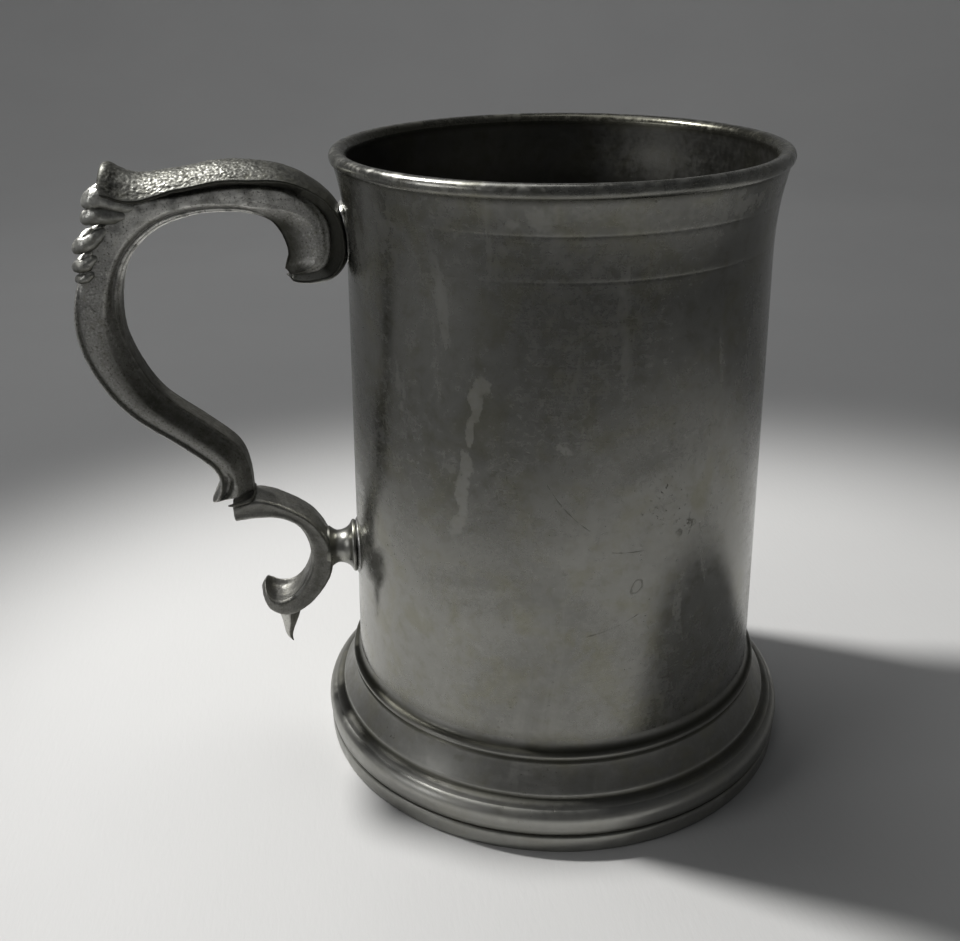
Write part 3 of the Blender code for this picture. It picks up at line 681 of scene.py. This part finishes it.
def build_upper_scroll():
    outer, inner = eased(spline(SCROLL_OUTER, 26), 9), eased(spline(SCROLL_INNER, 26), 9)
    last = len(outer) - 1
    edges = [np.array(edge, float) for edge in (NECK_EDGE, VOLUTE_EDGE, FLANGE_EDGE, FLICK_EDGE, HEEL_EDGE)]
    rings, wear_and_highlight, grime_and_shade = [], [], []
    for i in range(last + 1):
        o, n = outer[i], inner[i]
        t = i / last
        depth = hypot(*(n - o))
        s = min(depth / 6.0, 1.0)
        volute = 1 - ramp(t, 0.13, 0.24)
        edge = blend(edges[0], edges[1], volute)
        edge = blend(edge, edges[2], ramp(t, 0.525, 0.59))
        edge = blend(edge, edges[3], ramp(t, 0.86, 0.935))
        edge = blend(edge, edges[4], ramp(t, 0.97, 0.995))
        edge = edge * (s, 1.0)
        side = SIDE_HALF - 0.5 * ramp(t, 0.88, 1.0)
        cove = blend(blend(2.2, 3.1, ramp(t, 0.5, 0.64)) * s, 0.66 * depth, volute)
        plain = ramp(t, 0.56, 0.66)
        bead = blend(blend(1.25, 0.2, volute), 0.3, plain) * s
        low = side - blend(blend(1.55, 2.9, volute), 2.3, plain)
        fall, brink = depth - cove, depth - bead
        half = edge.tolist() + [((edge[-1][0] + depth - cove) / 2, side + 0.1), (fall - 0.3 * s, side + 0.05)]
        half += [(fall, side - 0.1), (fall + 0.35 * s, side - 0.42)]
        half += [(blend(fall, brink, 0.6), blend(side, low, 0.72)), (brink - 0.12 * s, low)]
        half += [(brink + 0.15 * s, low + 0.12), (depth - bead * 0.62, low + 0.1)]
        half += [(depth - bead * 0.5, low - 0.08), (depth - bead * 0.38, low + 0.08)]
        half += [(depth - bead * 0.1, low - 0.35), (depth, low - 1.1), (depth, 0.0)]
        shape = softened(half, 2)
        closing = sqrt(max(1 - (1 - min((t + 0.001) / 0.035, 1.0)) ** 2, 0.02))
        closing = closing * sqrt(max(1 - 0.5 * max((t - 0.985) / 0.015, 0.0) ** 2, 0.02))
        rings.append(ring_across(o, n, shape * (1.0, closing)))
        d, w = shape[:, 0], shape[:, 1]
        # Painted highlights: a painted reflection along the inner bead strip, strongest on the upper part of
        # the S, a bright line at the cove's edge, a lighter upper side face and a bright line on the flange
        # of the lower back.
        sheen_span = ramp(t, 0.15, 0.22) * (1 - ramp(t, 0.5, 0.58))
        strip = ramp(d, brink - 0.05, brink + 0.2) * (w > 0.5)
        rub_and_sheen = (0.12 + 1.1 * sheen_span) * strip + 0.22 * bump_at(d, fall, 0.22) * (1 - volute)
        top = 0.75 * (1 - ramp(t, 0.4, 0.56)) * ramp(t, 0.16, 0.26)
        rub_and_sheen = rub_and_sheen + top * ramp(d, 0.9 * s, 1.8 * s) * (1 - ramp(d, fall - 0.3, fall))
        rub_and_sheen = rub_and_sheen + 0.3 * bump_at(d, 0.3, 0.25) * (w > 4.9) * ramp(t, 0.55, 0.6)
        # Painted shade: under the leaf, a dark line under the lower flange, in the cove, in the volute's
        # scoop, at the beak's tip and over the lower side faces towards the inner edge.
        under = 0.6 * bump_at(d, 0.6, 0.45) * (w > 2.5) * (1 - ramp(t, 0.44, 0.52)) * (1 - 0.6 * volute)
        line = 0.55 * bump_at(d, 1.0, 0.22) * (w > 2.0) * ramp(t, 0.54, 0.6)
        hollow = blend(0.3, 0.75, ramp(t, 0.48, 0.62)) * ramp(d, fall - 0.3, brink - 0.3)
        in_volute = 0.92 * volute * ramp(d, 0.36 * depth, 0.9 * depth)
        hollow = np.maximum(hollow * (1 - 0.8 * strip * sheen_span), in_volute)
        beak = 0.9 * (1 - ramp(t, 0.02, 0.075))
        low_dark = ramp(t, 0.54, 0.72) * blend(0.15, 0.8, ramp(d, 0.2 * depth, 0.62 * depth))
        low_dark = low_dark * (1 - 0.6 * ramp(t, 0.84, 0.92))
        low_dark = low_dark * (1 - 0.5 * plain * ramp(d, depth - 1.6, depth - 0.4))
        painted_shade = np.maximum.reduce([under, line, hollow, low_dark * (w > 0.5), np.full(len(d), beak)])
        wear_and_highlight.append(both_ways(rub_and_sheen))
        grime_and_shade.append(both_ways(painted_shade))
    obj = piece("upper_scroll_body", [loft(rings)], SCROLL_PEWTER, ["upper_scroll"], 60)
    co, _ = local_points(obj)
    grime_and_shade = np.clip(np.concatenate(grime_and_shade), 0, 1)
    lumps = 0.05 * rough(co, 3.2, 20.0) + 0.04 * rough(co, 1.1, 21.0) + 0.05 * rough(co, 0.55, 22.0)
    push(obj, lumps * (1 - 0.5 * grime_and_shade) - 0.06)
    mark(obj, "wear_and_highlight", np.clip(np.concatenate(wear_and_highlight) * ramp(rough(co, 2.2, 23.0), -0.6, 0.2), 0, 0.9))
    mark(obj, "grime_and_shade", np.clip(grime_and_shade * (1 + 0.15 * rough(co, 1.2, 24.0)), 0, 1))


LEAF_CROWN = [
    (87.0, 126.9), (86.9, 128.1), (86.1, 128.9), (84.9, 128.7), (83.2, 127.6), (79.7, 126.7), (72.2, 127.5),
    (64.8, 128.6), (57.4, 128.2), (51.0, 126.4), (45.3, 122.4), (42.3, 117.8), (41.5, 113.4), (41.8, 109.2),
    (44.2, 105.8), (48.2, 104.5), (52.0, 104.8), (54.3, 106.3)]


def build_thumb_leaf():
    crown = spline(LEAF_CROWN, 30)
    run = np.concatenate([[0], np.cumsum(np.linalg.norm(np.diff(crown, axis=0), axis=1))])
    even = np.arange(0, run[-1], 0.2)
    crown = eased(np.stack([np.interp(even, run, crown[:, k]) for k in (0, 1)], -1), 5)
    bed = spline(SCROLL_OUTER[:8], 40)
    end = even[-1]
    nearest = np.array([bed[np.argmin(np.hypot(*(bed - point).T))] for point in crown])
    nearest = eased(nearest, 12)
    rings, places = [], []
    across = 1 - (1 - np.linspace(0.0, 1.0, 44)) ** 1.55
    for i, point in enumerate(crown):
        s = even[i]
        under = nearest[i]
        gap = hypot(*(under - point))
        toward = (under - point) / gap
        drop = 1 - ramp(s, 2.5, 11.0)
        toward = toward * (1 - drop) + np.array((0.12, -1.0)) * drop
        toward = toward / hypot(*toward)
        tongue = sqrt(max(1 - (1 - min((s + 0.12) / 2.2, 1.0)) ** 2, 0.02))
        aside = ramp(s, 32.0, 46.0)
        tail = 1 - ramp(s, end - 7.0, end)
        closing = sqrt(max(1 - max((s - end + 2.0) / 2.0, 0.0) ** 2, 0.02))
        width = blend(LEAF_HALF * tongue * blend(0.86, 1.0, ramp(s, 1.0, 9.0)), 4.75, ramp(s, 30.0, 52.0))
        width = width * blend(0.8, 1.0, tail) * closing
        dome = np.interp(s, (0, 3, 6, 10, 15, 24, 30, 36, 46), (4.8, 5.1, 4.7, 3.7, 2.9, 2.75, 2.7, 1.9, 0.9))
        dome = dome * (0.15 + 0.85 * tongue) * blend(0.6, 1.0, tail)
        rim = blend(0.8, 0.55, aside) * blend(0.4, 1.0, tail)
        room = gap + blend(0.35, 0.8, aside)
        thick = min(room, blend(dome + 0.9, 4.6, ramp(s, 6.0, 17.0)))
        half = [(dome * a ** blend(2.2, 2.6, drop), width * a) for a in across]
        half += [(dome + 0.22 * rim, width + 0.1), (dome + rim * 0.75, width + 0.02)]
        half += [(dome + rim, width - 0.3)]
        shell = blend(0.7, 1.0, ramp(s, 4.0, 13.0))
        for a in (0.86, 0.7, 0.5, 0.3, 0.0):
            deepest = max(thick, dome + rim) if a < 0.8 else dome + rim
            half.append((blend(0.95 + dome * a * a, deepest, shell), width * a))
        rings.append(ring_across(point, point + toward, half))
        top = np.concatenate([np.ones(len(across)), np.zeros(len(half) - len(across))])
        share = np.concatenate([across, np.full(len(half) - len(across), 1.2)])
        places.append(np.stack([both_ways(top), both_ways(share), np.full(2 * len(half) - 2, s)], -1))
    obj = piece("thumb_leaf_body", [loft(rings)], LEAF_PEWTER, ["thumb_leaf"], 60)
    co, _ = local_points(obj)
    top, share, s = np.concatenate(places).T
    fading = 1 - ramp(s, 24.0, 42.0)
    field = top * (0.55 + 0.45 * ramp(s, 6.0, 11.0)) * ramp(s, 1.6, 3.6) * fading
    field = field * (1 - 0.75 * ramp(share, 0.93, 1.0))
    ridge = pebbles(co, 0.66, 30.0)
    fine = pebbles(co, 0.42, 31.0)
    lumps = rough(co, 0.55, 34.0)
    stipple = (ridge - 0.5) * 0.11 + (fine - 0.5) * 0.06 + 0.09 * lumps + 0.05 * rough(co, 1.3, 35.0)
    soft = 0.07 * rough(co, 2.6, 32.0) + 0.03 * rough(co, 0.9, 33.0)
    push(obj, field * stipple + soft - 0.05)
    # Lighter: painted highlight towards the top's edges, on the lip's end and on the crescent at the lower
    # end; the stipple's peaks are lighter for polish and painted highlight.
    rubbed_and_lit = (0.5 + 0.5 * lumps) * ramp(share, 0.45, 0.9) * top * bump_at(s, 10.0, 7.0)
    rubbed_and_lit = rubbed_and_lit + 0.9 * (s < 1.0) * (share < 1.05)
    crescent = ramp(s, end - 11.0, end - 8.0) * ramp(share, 0.5, 0.8)
    worn_and_lit = 0.55 * rubbed_and_lit + 0.4 * field * np.clip(ridge - 0.5 + 0.4 * lumps, 0, 1) + 0.6 * crescent
    mark(obj, "wear_and_highlight", np.clip(worn_and_lit, 0, 0.85))
    # Darker: tarnish and painted shade in the stipple's hollows, painted shade behind the lip, towards the
    # tail and on the underside.
    pit = field * 0.75 * (1 - ramp(ridge + 0.5 * lumps, 0.0, 0.4))
    shade = 0.5 * ramp(s, 26.0, 42.0) + 0.4 * bump_at(s, 3.6, 1.8) * top
    below = 0.75 * (share > 1.02) * (0.4 + 0.6 * fading)
    mark(obj, "grime_and_shade", np.clip((pit + shade + below) * (1 - 0.8 * crescent), 0, 1))


# Leaf tips down the back: for each, the tail on the side face, the bulge at the side and the middle of the
# back as (reach, z), then the bulge's half thickness and how much its top is painted bright, a painted
# highlight.
PETALS = [
    ((79.6, 120.8), (87.7, 122.7), (88.7, 122.0), 2.0, 1.0),
    ((81.8, 119.5), (88.6, 119.5), (89.7, 118.7), 1.75, 0.35),
    ((85.6, 117.2), (90.9, 114.4), (92.2, 113.0), 1.65, 0.3),
    ((88.2, 112.4), (91.7, 110.4), (92.9, 109.5), 1.4, 0.15),
    ((89.2, 109.2), (91.9, 107.9), (93.2, 107.3), 1.0, 0.08)]


def tube(spine, radii, flat, around=28):
    """A closed tapering body along a spine; flat squeezes it across the given directions."""
    spine, radii = np.array(spine), np.array(radii)
    tangent = np.gradient(spine, axis=0)
    tangent /= np.linalg.norm(tangent, axis=1)[:, None]
    rings = []
    for p, t, r, (side, thin) in zip(spine, tangent, radii, flat):
        a = np.cross(t, side)
        a /= np.linalg.norm(a)
        b = np.cross(t, a)
        rings.append([p + r * (cos(q) * a * thin + sin(q) * b) for q in 2 * pi * np.arange(around) / around])
    return loft(rings)


def build_back_lobes():
    parts, petal_sheen = [], []
    for tail, bulge, back, size, rubbed_and_lit in PETALS:
        out = -4.2 - 0.3 * (2.0 - size)
        keys = [
            (tail[0], out + 0.2, tail[1], 0.55 * size),
            (blend(tail[0], bulge[0], 0.42), out - 0.05, blend(tail[1], bulge[1], 0.4), 0.8 * size),
            (bulge[0] - 0.45 * size, out, bulge[1] + 0.15, size),
            (bulge[0] + 0.3 * size, out + 0.6, bulge[1] - 0.1, size),
            (blend(bulge[0], back[0], 0.75) + 0.5 * size, -2.2, blend(bulge[1], back[1], 0.7), 0.86 * size),
            (back[0] + 0.1, 0.0, back[1] - 0.15, 0.7 * size)]
        keys += [(x, -y, z, r) for x, y, z, r in reversed(keys[:-1])]
        path = spline(keys, 14)
        spine = np.stack([-path[:, 0], path[:, 1], path[:, 2]], -1)
        ends = np.minimum(np.arange(len(path)), np.arange(len(path))[::-1]) / 12.0
        radii = path[:, 3] * np.sqrt(np.clip(1 - (1 - np.minimum(ends, 1)) ** 2, 0.02, 1))
        flat = [((0.5, 0.0, 1.0), 0.8)] * len(path)
        parts.append(tube(spine, radii, flat))
        petal_sheen.append(np.full(len(parts[-1][0]), rubbed_and_lit))
    obj = piece("back_lobes_body", parts, LOBE_PEWTER, ["back_lobes"], 70)
    co, normals = local_points(obj)
    push(obj, 0.2 * rough(co, 1.8, 40.0) + 0.07 * rough(co, 0.7, 41.0) - 0.1)
    # Painted highlight on faces turned up and to the left, towards the key lamp, by how bright each petal's
    # top is painted.
    up = np.clip(normals[:, 2] * 0.7 - normals[:, 0] * 0.6, 0, 1)
    mark(obj, "wear_and_highlight", np.clip(np.concatenate(petal_sheen) * up * ramp(rough(co, 1.4, 42.0), -0.9, 0.1), 0, 0.95))
    # Painted shade on faces turned down, less on the brighter petals.
    shade = 0.2 + ramp(-normals[:, 2], 0.0, 0.6) * 0.75
    mark(obj, "grime_and_shade", np.clip(shade - np.concatenate(petal_sheen) * 0.3, 0, 1))


LOWER_OUTER = [
    (69.2, 57.7), (64.0, 59.3), (58.6, 57.6), (53.2, 54.0), (50.2, 49.8), (49.0, 45.4), (49.3, 40.8),
    (51.6, 36.4), (55.2, 32.9), (59.4, 31.4), (63.2, 33.2), (65.0, 36.6)]
LOWER_INNER = [
    (69.1, 54.3), (64.6, 54.7), (60.0, 54.5), (56.2, 52.6), (54.2, 49.4), (53.6, 45.6), (54.2, 41.6),
    (55.8, 38.4), (58.0, 36.2), (60.6, 35.4), (62.7, 36.0), (64.1, 37.7)]


def build_lower_scroll():
    outer, inner = spline(LOWER_OUTER, 24), spline(LOWER_INNER, 24)
    last = len(outer) - 1
    rings, wear_and_highlight, grime_and_shade = [], [], []
    for i in range(last + 1):
        o, n = outer[i], inner[i]
        t = i / last
        depth = hypot(*(n - o))
        curl = ramp(t, 0.58, 0.86)
        close = sqrt(max(1 - (max(t - 0.955, 0) / 0.0455) ** 2, 0.02))
        start = sqrt(max(1 - (max(0.012 - t, 0) / 0.0125) ** 2, 0.3))
        width = blend(SCROLL_HALF, CURL_HALF, ramp(t, 0.6, 0.88)) * (1 - 0.25 * ramp(t, 0.9, 1.0))
        width = width * close * start
        e = min(1.0, depth * 0.3)
        scoop = curl * min(1.7, depth * 0.55)
        middle = 0.55 * curl * (1 - 0.5 * ramp(t, 0.9, 1.0))
        half = [(-0.25 * (1 - curl), 0.0), (0.0, width - 1.3), (0.1 * e, width - 0.6)]
        half += [(0.45 * e, width - 0.12), (0.8 * e, width)]
        half += [(depth * 0.5, width - 0.18 * (1 - curl)), (depth - e, width)]
        half += [(depth - 0.7 * e, width - 0.06), (depth - 0.45 * e, width - 0.5 * (1 - curl) - 0.1)]
        half += [(depth - 0.1 * e, width - 0.85), (depth - 0.25 * scoop, width - 1.15)]
        half += [(depth - 0.8 * scoop, width - 1.9), (depth - scoop, max(width - 3.2, 0.4))]
        half += [(depth - scoop - 0.2 * middle, 0.0)]
        half = [(d, max(w, 0.0)) for d, w in half]
        shape = softened(half, 2)
        rings.append(ring_across(o, n, shape))
        d, w = shape[:, 0], shape[:, 1]
        # Lighter edges: partly polish and partly painted highlight. Painted shade down the middle of the side
        # faces before the curl.
        rub_and_sheen = 0.35 * bump_at(d, depth - 0.3 * e, 0.3) * (w > 1) + 0.25 * bump_at(d, 0.3, 0.4) * (w > 1)
        painted_shade = 0.35 * (1 - curl) * bump_at(d, depth * 0.5, depth * 0.3) * (w > 1)
        wear_and_highlight.append(both_ways(rub_and_sheen))
        grime_and_shade.append(both_ways(painted_shade))
    obj = piece("lower_scroll_body", [loft(rings)], LOWER_PEWTER, ["lower_scroll"], 60)
    co, _ = local_points(obj)
    push(obj, 0.07 * rough(co, 2.6, 50.0) + 0.035 * rough(co, 0.9, 51.0) - 0.03)
    mark(obj, "wear_and_highlight", np.clip(np.concatenate(wear_and_highlight) * ramp(rough(co, 2.0, 52.0), -0.5, 0.3), 0, 0.7))
    mark(obj, "grime_and_shade", np.clip(np.concatenate(grime_and_shade), 0, 1))


# Drop: a ridged leaf tip under the curl, as (reach, z, half its length fore and aft, half width).
DROP = [
    (59.3, 31.6, 1.9, 1.5), (59.3, 30.4, 2.4, 2.1), (59.4, 28.9, 2.15, 2.2), (59.5, 27.2, 1.6, 1.7),
    (59.75, 25.4, 1.15, 1.2), (59.85, 23.9, 0.75, 0.8), (59.6, 22.7, 0.4, 0.42), (59.2, 21.9, 0.12, 0.12)]


RIDGED = ((1, 0), (0.7, 0.4), (0.45, 0.66), (0.12, 0.98), (-0.06, 1), (-0.3, 0.72), (-0.72, 0.42), (-1, 0))


def build_drop():
    rings = []
    for r, z, fore, wide in eased(spline(DROP, 12), 5):
        half = [(a * fore, b * wide) for a, b in RIDGED]
        near = [(-(r + a), -b, z) for a, b in half]
        far = [(-(r + a), b, z) for a, b in half[-2:0:-1]]
        rings.append(near + far)
    obj = piece("drop_finial_body", [loft(rings)], LOWER_PEWTER, ["drop_finial"], 32)
    co, normals = local_points(obj)
    push(obj, 0.05 * rough(co, 1.3, 60.0))
    # Painted light: lighter on the near ridge and on faces turned to the left, towards the key lamp, darker
    # on faces turned the other way; painted shade on the top, under the curl.
    light = 0.5 + 0.4 * bump_at(co[:, 1], -1.9, 0.6) + 0.35 * ramp(-normals[:, 0], 0.1, 0.6)
    mark(obj, "wear_and_highlight", np.clip(light - 0.5 * ramp(normals[:, 0], 0.1, 0.5), 0, 0.9))
    mark(obj, "grime_and_shade", 0.6 * ramp(co[:, 2], 29.8, 31.2))


def across_strut(profile, steps):
    """An outline of (radius, reach) turned about the strut's own axis, with flat ends."""
    profile = np.array(profile, float)
    angles = 2 * pi * np.arange(steps) / steps
    rings = [[(-h, r * cos(a), STRUT_Z + r * sin(a)) for a in angles] for r, h in profile]
    return loft(rings)


def build_strut():
    wall = drum_radius(STRUT_Z)
    flange, waist = STRUT_FLANGE_R, STRUT_WAIST_R
    profile = [(flange - a, wall + b) for a, b in (
        (0.6, 0.25), (0.2, 0.3), (0.02, 0.5), (0.0, 0.72), (0.06, 0.92), (0.22, 1.1), (0.42, 1.22))]
    neck = 47.5
    for t in np.linspace(0.06, 1.0, 22):
        radius = blend(flange - 0.5, waist, sin(t * pi / 2) ** 0.8)
        profile.append((radius, blend(wall + 1.32, neck, t ** 1.3)))
    profile += [(waist + a, b) for a, b in ((0.03, 47.9), (0.25, 48.4), (0.6, 48.9), (1.0, 49.4),
            (0.9, 50.2))]
    obj = piece("strut_body", [across_strut(profile, 120)], STRUT_PEWTER, ["strut"], 45)
    co, _ = local_points(obj)
    push(obj, 0.03 * rough(co, 2.4, 70.0) - 0.02)
    mark(obj, "wear_and_highlight", 0.3 * ramp(rough(co, 2.0, 71.0), 0.0, 0.5))
    # Painted shade at the strut's outer end, by the lower scroll, and in a line at the top of the flare.
    painted_shade = 0.5 * ramp(-co[:, 0], 47.6, 48.6) + 0.25 * bump_at(-co[:, 0], wall + 1.32, 0.25)
    mark(obj, "grime_and_shade", np.clip(painted_shade, 0, 1))

    rings = []
    fillet = [(0.6, 0.6), (3.0, 0.6), (flange - 0.5, 0.5), (flange - 0.1, 0.36), (flange + 0.22, 0.2)]
    for r, top in fillet + [(flange + 0.45, 0.04)]:
        row = []
        for k in range(120):
            a = 2 * pi * k / 120
            y, z = r * cos(a), STRUT_Z + r * sin(a)
            row.append((-(sqrt(drum_radius(z) ** 2 - y * y) + top), y, z))
        rings.append(row)
    back = [[(x + 0.9 if k else x, y, z) for x, y, z in row] for k, row in enumerate(rings[:0:-1], 1)]
    obj = piece("strut_solder_fillet", [loft(rings + back)], SOLDER, ["strut_solder"], 60)
    co, _ = local_points(obj)
    push(obj, 0.07 * rough(co, 1.5, 72.0))
    # Darker, patchy solder: a painted shadow round the strut's foot.
    mark(obj, "grime_and_shade", 0.45 + 0.4 * ramp(rough(co, 2.0, 73.0), -0.2, 0.5))


def build_joints():
    """The solder between the leaf and the drum, and where one scroll sits on the other."""
    rings = []
    rows = [
        (108.2, 0.05, 1.4), (109.3, 0.2, 3.2), (111.0, 0.3, 4.6), (113.8, 0.3, 5.2), (116.0, 0.45, 5.2),
        (117.6, 0.8, 4.7), (118.8, 1.2, 3.8), (119.6, 0.8, 2.6), (120.1, 0.15, 0.8)]
    for z, thick, wide in spline(rows, 6):
        r = drum_radius(z)
        ring = []
        for k in range(32):
            a = 2 * pi * k / 32
            y = wide * cos(a)
            lift = blend(0.0, thick, 0.5 + 0.5 * sin(a)) - 0.25 * (sin(a) < 0)
            ring.append((-(sqrt(r * r - y * y) + lift), y, z))
        rings.append(ring)
    obj = piece("upper_joint_fillet", [loft(rings)], SOLDER, ["upper_joint_solder"], 70)
    co, _ = local_points(obj)
    push(obj, 0.16 * rough(co, 1.3, 80.0))
    mark(obj, "grime_and_shade", 0.55 * (1 - ramp(co[:, 2], 116.0, 118.6)) * ramp(rough(co, 1.2, 81.0), -0.4, 0.3))

    keys = [(-69.8, -4.0, 58.3, 0.2), (-68.6, -4.1, 58.5, 0.4), (-66.6, -4.15, 59.0, 0.45)]
    keys += [(-65.1, -4.0, 59.5, 0.4), (-64.6, -2.5, 59.7, 0.4), (-64.5, 0.0, 59.7, 0.4)]
    path = spline(keys + [(x, -y, z, r) for x, y, z, r in reversed(keys[:-1])], 8)
    flat = [((0.0, 0.3, 1.0), 0.9)] * len(path)
    bead = tube(path[:, :3], path[:, 3], flat, 16)
    obj = piece("scroll_joint_fillet", [bead], SCROLL_PEWTER, ["scroll_joint_solder"], 70)
    co, _ = local_points(obj)
    push(obj, 0.12 * rough(co, 1.0, 82.0))
    mark(obj, "wear_and_highlight", np.zeros(len(co)))
    mark(obj, "grime_and_shade", np.full(len(co), 0.75))


# ---- stage, lights and camera

def build_stage():
    """A pale seamless floor that curves up into a plain backdrop all round."""
    profile = [(0.0, 0.0)] + [(r, 0.0) for r in np.arange(0.1, 0.71, 0.1)]
    profile += [(0.7 + 0.5 * sin(a), 0.5 - 0.5 * cos(a)) for a in np.radians(np.arange(6, 91, 6))]
    profile.append((1.2, 1.3))
    points, faces = lathe(profile, 96, closed=False)
    mesh = bpy.data.meshes.new("floor")
    mesh.from_pydata(points.tolist(), [], faces)
    mesh.shade_smooth()
    tree = Tree("floor_cloth")
    weave = tree.noise(1.0, 3.0, 0.6, 0.0, tree.stretched((900.0, 240.0, 300.0)))
    wide = tree.noise(9.0, 3.0)
    tree.put(tree.mixed(wide, (0.6, 0.6, 0.6), (0.67, 0.67, 0.665)), tree.shader.inputs["Base Color"])
    tree.shader.inputs["Roughness"].default_value = 0.9
    tree.put(tree.bumped(weave, 0.0002, 0.25), tree.shader.inputs["Normal"])
    mesh.materials.append(tree.material)
    obj = linked("floor", mesh)


def aim(obj, place, target):
    obj.location = place
    obj.rotation_mode = "QUATERNION"
    obj.rotation_quaternion = (Vector(target) - Vector(place)).to_track_quat("-Z", "Y")


def around(azimuth, elevation, distance):
    a, e = radians(azimuth), radians(elevation)
    return Vector((distance * cos(a) * cos(e), distance * sin(a) * cos(e), distance * sin(e)))


KEY_AZIMUTH, KEY_ELEVATION, KEY_DISTANCE = 152.0, 57.0, 0.95  # degrees, degrees, metres
KEY_TARGET = (0.025, -0.02, 0.03)
WORLD_COLOUR, WORLD_STRENGTH = (0.93, 0.96, 1.0, 1.0), 0.062
# Soft lamps: name, azimuth, elevation, distance, size, power and the place each is aimed at.
SOFT_LAMPS = (
    ("top_soft", 120.0, 70.0, 0.9, 0.5, 1.1, (0.0, 0.0, 0.06)),
    ("side_soft", 200.0, 25.0, 0.9, 0.35, 0.9, (0.0, 0.0, 0.06)),
    ("wall_wash", 80.0, 55.0, 0.85, 0.4, 0.5, (0.2, 1.15, 0.25)))


def build_lights():
    world = bpy.data.worlds.new("studio")
    bpy.context.scene.world = world
    world.use_nodes = True
    background = world.node_tree.nodes["Background"]
    background.inputs["Color"].default_value = WORLD_COLOUR
    background.inputs["Strength"].default_value = WORLD_STRENGTH
    key = bpy.data.lights.new("key", "SPOT")
    key.energy = 38.0
    key.shadow_soft_size = 0.045
    key.spot_size = radians(26.0)
    key.spot_blend = 0.6
    key.color = (1.0, 0.99, 0.97)
    obj = linked("key", key)
    aim(obj, around(KEY_AZIMUTH, KEY_ELEVATION, KEY_DISTANCE), KEY_TARGET)
    for name, azimuth, elevation, distance, size, power, target in SOFT_LAMPS:
        lamp = bpy.data.lights.new(name, "AREA")
        lamp.energy = power
        lamp.size = size
        obj = linked(name, lamp)
        aim(obj, around(azimuth, elevation, distance), target)


# The camera that a fit to the rim and foot in the photo gave: metres, degrees, and the lens in mm.
CAMERA_DISTANCE, CAMERA_HEIGHT, CAMERA_LENS = 0.2303, 0.16431, 43.365
CAMERA_TURN = (24.324, -4.023, -0.674)  # pitch down, yaw, roll
CAMERA_ROUND = -10.5  # how far round the drum axis the camera stands from -Y


def build_camera():
    """The photographer's place, measured from the drum axis: distance, height, and the turn of the view."""
    pitch, yaw, roll = (radians(angle) for angle in CAMERA_TURN)
    forward = Vector((sin(yaw) * cos(pitch), cos(yaw) * cos(pitch), -sin(pitch)))
    right = Vector((cos(yaw), -sin(yaw), 0.0))
    up = right.cross(forward)
    across = cos(roll) * right + sin(roll) * up
    upright = -sin(roll) * right + cos(roll) * up
    matrix = Matrix((across, upright, -forward)).transposed().to_4x4()
    matrix.translation = (0.0, -CAMERA_DISTANCE, CAMERA_HEIGHT)
    data = bpy.data.cameras.new("camera")
    data.sensor_fit = "HORIZONTAL"
    data.sensor_width = 36.0
    data.lens = CAMERA_LENS
    data.clip_start = 0.01
    camera = linked("camera", data)
    turn = Matrix.Rotation(radians(CAMERA_ROUND), 4, "Z")
    camera.matrix_world = Matrix.Translation((AXIS_X * MM, 0, 0)) @ turn @ matrix
    bpy.context.scene.camera = camera


bpy.context.scene.view_settings.view_transform = "Standard"
build_camera()
build_stage()
build_lights()
build_drum()
build_foot()
build_upper_scroll()
build_thumb_leaf()
build_back_lobes()
build_lower_scroll()
build_drop()
build_strut()
build_joints()
